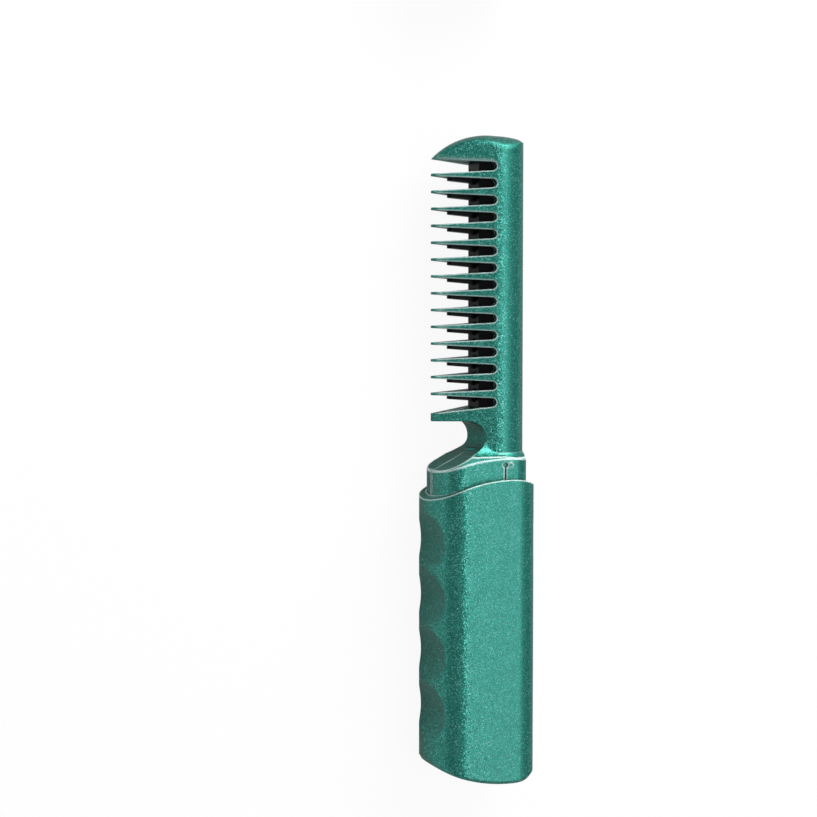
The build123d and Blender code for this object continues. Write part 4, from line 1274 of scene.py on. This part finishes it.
@dataclass
class Studio:
    """The floor, the lamps, the sky and the camera."""

    floor_size: float = 16.0
    floor_colour: Colour = (0.9, 0.9, 0.9)
    own_light: float = 0.93
    floor_fade: Span = (0.5, 1.6)
    mirrored_share: float = 0.4
    sky: float = 0.35
    walls: float = 0.37
    wall_heights: Span = (0.0, 0.8)
    ceiling: float = 0.65
    boxes: tuple[SoftBox, ...] = (
        SoftBox("key_box", (0.33, 0.08, 0.95), (0.0, 0.08, 0.0), (1.3, 0.4), 3.65),
        SoftBox("rim_box", (0.40, 0.95, 0.55), (0.0, 0.08, 0.0), (1.0, 0.7), 16.0),
    )
    turn: float = math.radians(21)
    rise: float = math.radians(3)
    focal_pixels: float = 1700.0
    pixels_per_mm: float = 3.335
    image: int = 817
    middle_y: float = 66.6 * MM
    middle_z: float = 12.4 * MM
    aside: float = 67.8
    sensor: float = 36.0
    nearest: float = 10 * MM

    def build(self) -> None:
        """Sets up the whole studio."""
        self.floor()
        self.world()
        for box in self.boxes:
            box.build()
        self.camera()
        bpy.context.scene.view_settings.view_transform = "Standard"

    def rays(self, tree: ShaderTree) -> tuple[Socket, Socket]:
        """Gives 1 for what is seen directly, and 1 for what is mirrored or seen through."""
        path = tree.add("ShaderNodeLightPath").outputs
        return path["Is Camera Ray"], tree.math("MAXIMUM", path["Is Glossy Ray"], path["Is Transmission Ray"])

    def floor(self) -> None:
        """Lays a pale floor that keeps a soft shadow."""
        half = self.floor_size / 2
        corners = [(-half, -half, 0.0), (half, -half, 0.0), (half, half, 0.0), (-half, half, 0.0)]
        plane = link_object("floor", mesh_of("floor", corners, [(0, 1, 2, 3)]))
        material = bpy.data.materials.new("floor_paper")
        material.use_nodes = True
        tree = ShaderTree(material.node_tree)
        paper = tree.add("ShaderNodeBsdfDiffuse", {"Color": (*self.floor_colour, 1.0)}).outputs[0]
        glow = tree.add("ShaderNodeEmission", {"Color": WHITE, "Strength": 1.0}).outputs[0]
        distance = tree.add("ShaderNodeVectorMath", {0: tree.place}, operation="LENGTH").outputs["Value"]
        own = tree.fade(distance, self.floor_fade, (self.own_light, 1.0), interpolation_type="SMOOTHSTEP")
        seen, mirrored = self.rays(tree)
        dimmed = tree.math("MULTIPLY", mirrored, self.own_light * self.mirrored_share)
        share = tree.math("MULTIPLY_ADD", seen, own, dimmed)
        mix = tree.add("ShaderNodeMixShader", {0: share, 1: paper, 2: glow}).outputs[0]
        tree.add("ShaderNodeOutputMaterial", {"Surface": mix})
        plane.data.materials.append(material)

    def world(self) -> None:
        """Gives a white surround and a dimmer even light."""
        world = bpy.data.worlds.new("studio_white")
        bpy.context.scene.world = world
        world.use_nodes = True
        tree = ShaderTree(world.node_tree)
        towards = tree.add("ShaderNodeTexCoord").outputs["Generated"]
        height = tree.add("ShaderNodeSeparateXYZ", {"Vector": towards}).outputs["Z"]
        room = tree.fade(height, self.wall_heights, (self.walls, self.ceiling))
        seen, mirrored = self.rays(tree)
        other = tree.mix(Blend.FLOAT, mirrored, self.sky, room)
        level = tree.mix(Blend.FLOAT, seen, other, 1.0)
        light = tree.add("ShaderNodeBackground", {"Color": WHITE, "Strength": level}).outputs[0]
        tree.add("ShaderNodeOutputWorld", {"Surface": light})

    def camera(self) -> None:
        """Looks down at the comb from its teeth's side."""
        lens = bpy.data.cameras.new("studio_camera")
        lens.sensor_width = self.sensor
        lens.lens = self.focal_pixels / self.image * self.sensor
        lens.clip_start = self.nearest
        camera = bpy.data.objects.new("studio_camera", lens)
        level = Vector((-math.sin(self.turn), 0.0, math.cos(self.turn)))
        back = Vector((level.x * math.cos(self.rise), math.sin(self.rise), level.z * math.cos(self.rise)))
        right = Vector((math.cos(self.turn), 0.0, math.sin(self.turn)))
        up = back.cross(right)
        distance = self.focal_pixels / self.pixels_per_mm * MM
        place = Vector((0.0, self.middle_y, self.middle_z)) + back * distance
        place -= right * (self.aside / self.pixels_per_mm * MM)
        turned = Matrix((right, up, back)).transposed().to_4x4()
        camera.matrix_world = Matrix.Translation(place) @ turned
        bpy.context.scene.collection.objects.link(camera)
        bpy.context.scene.camera = camera


def main() -> None:
    """Builds every sub-assembly, then the studio."""
    logging.basicConfig(level=logging.INFO, format="%(name)s: %(message)s")
    groups: list[SubAssembly] = [
        OuterShells(),
        HeaterPack(),
        PowerPack(),
        ChargingSocket(),
        ControlBoard(),
        ScrewSet("board_screws"),
        ScrewSet("shell_screws"),
        NumberDisplay(),
        PowerButton(),
    ]
    for group in groups:
        group.build()
    Studio().build()


if __name__ == "__main__":
    main()
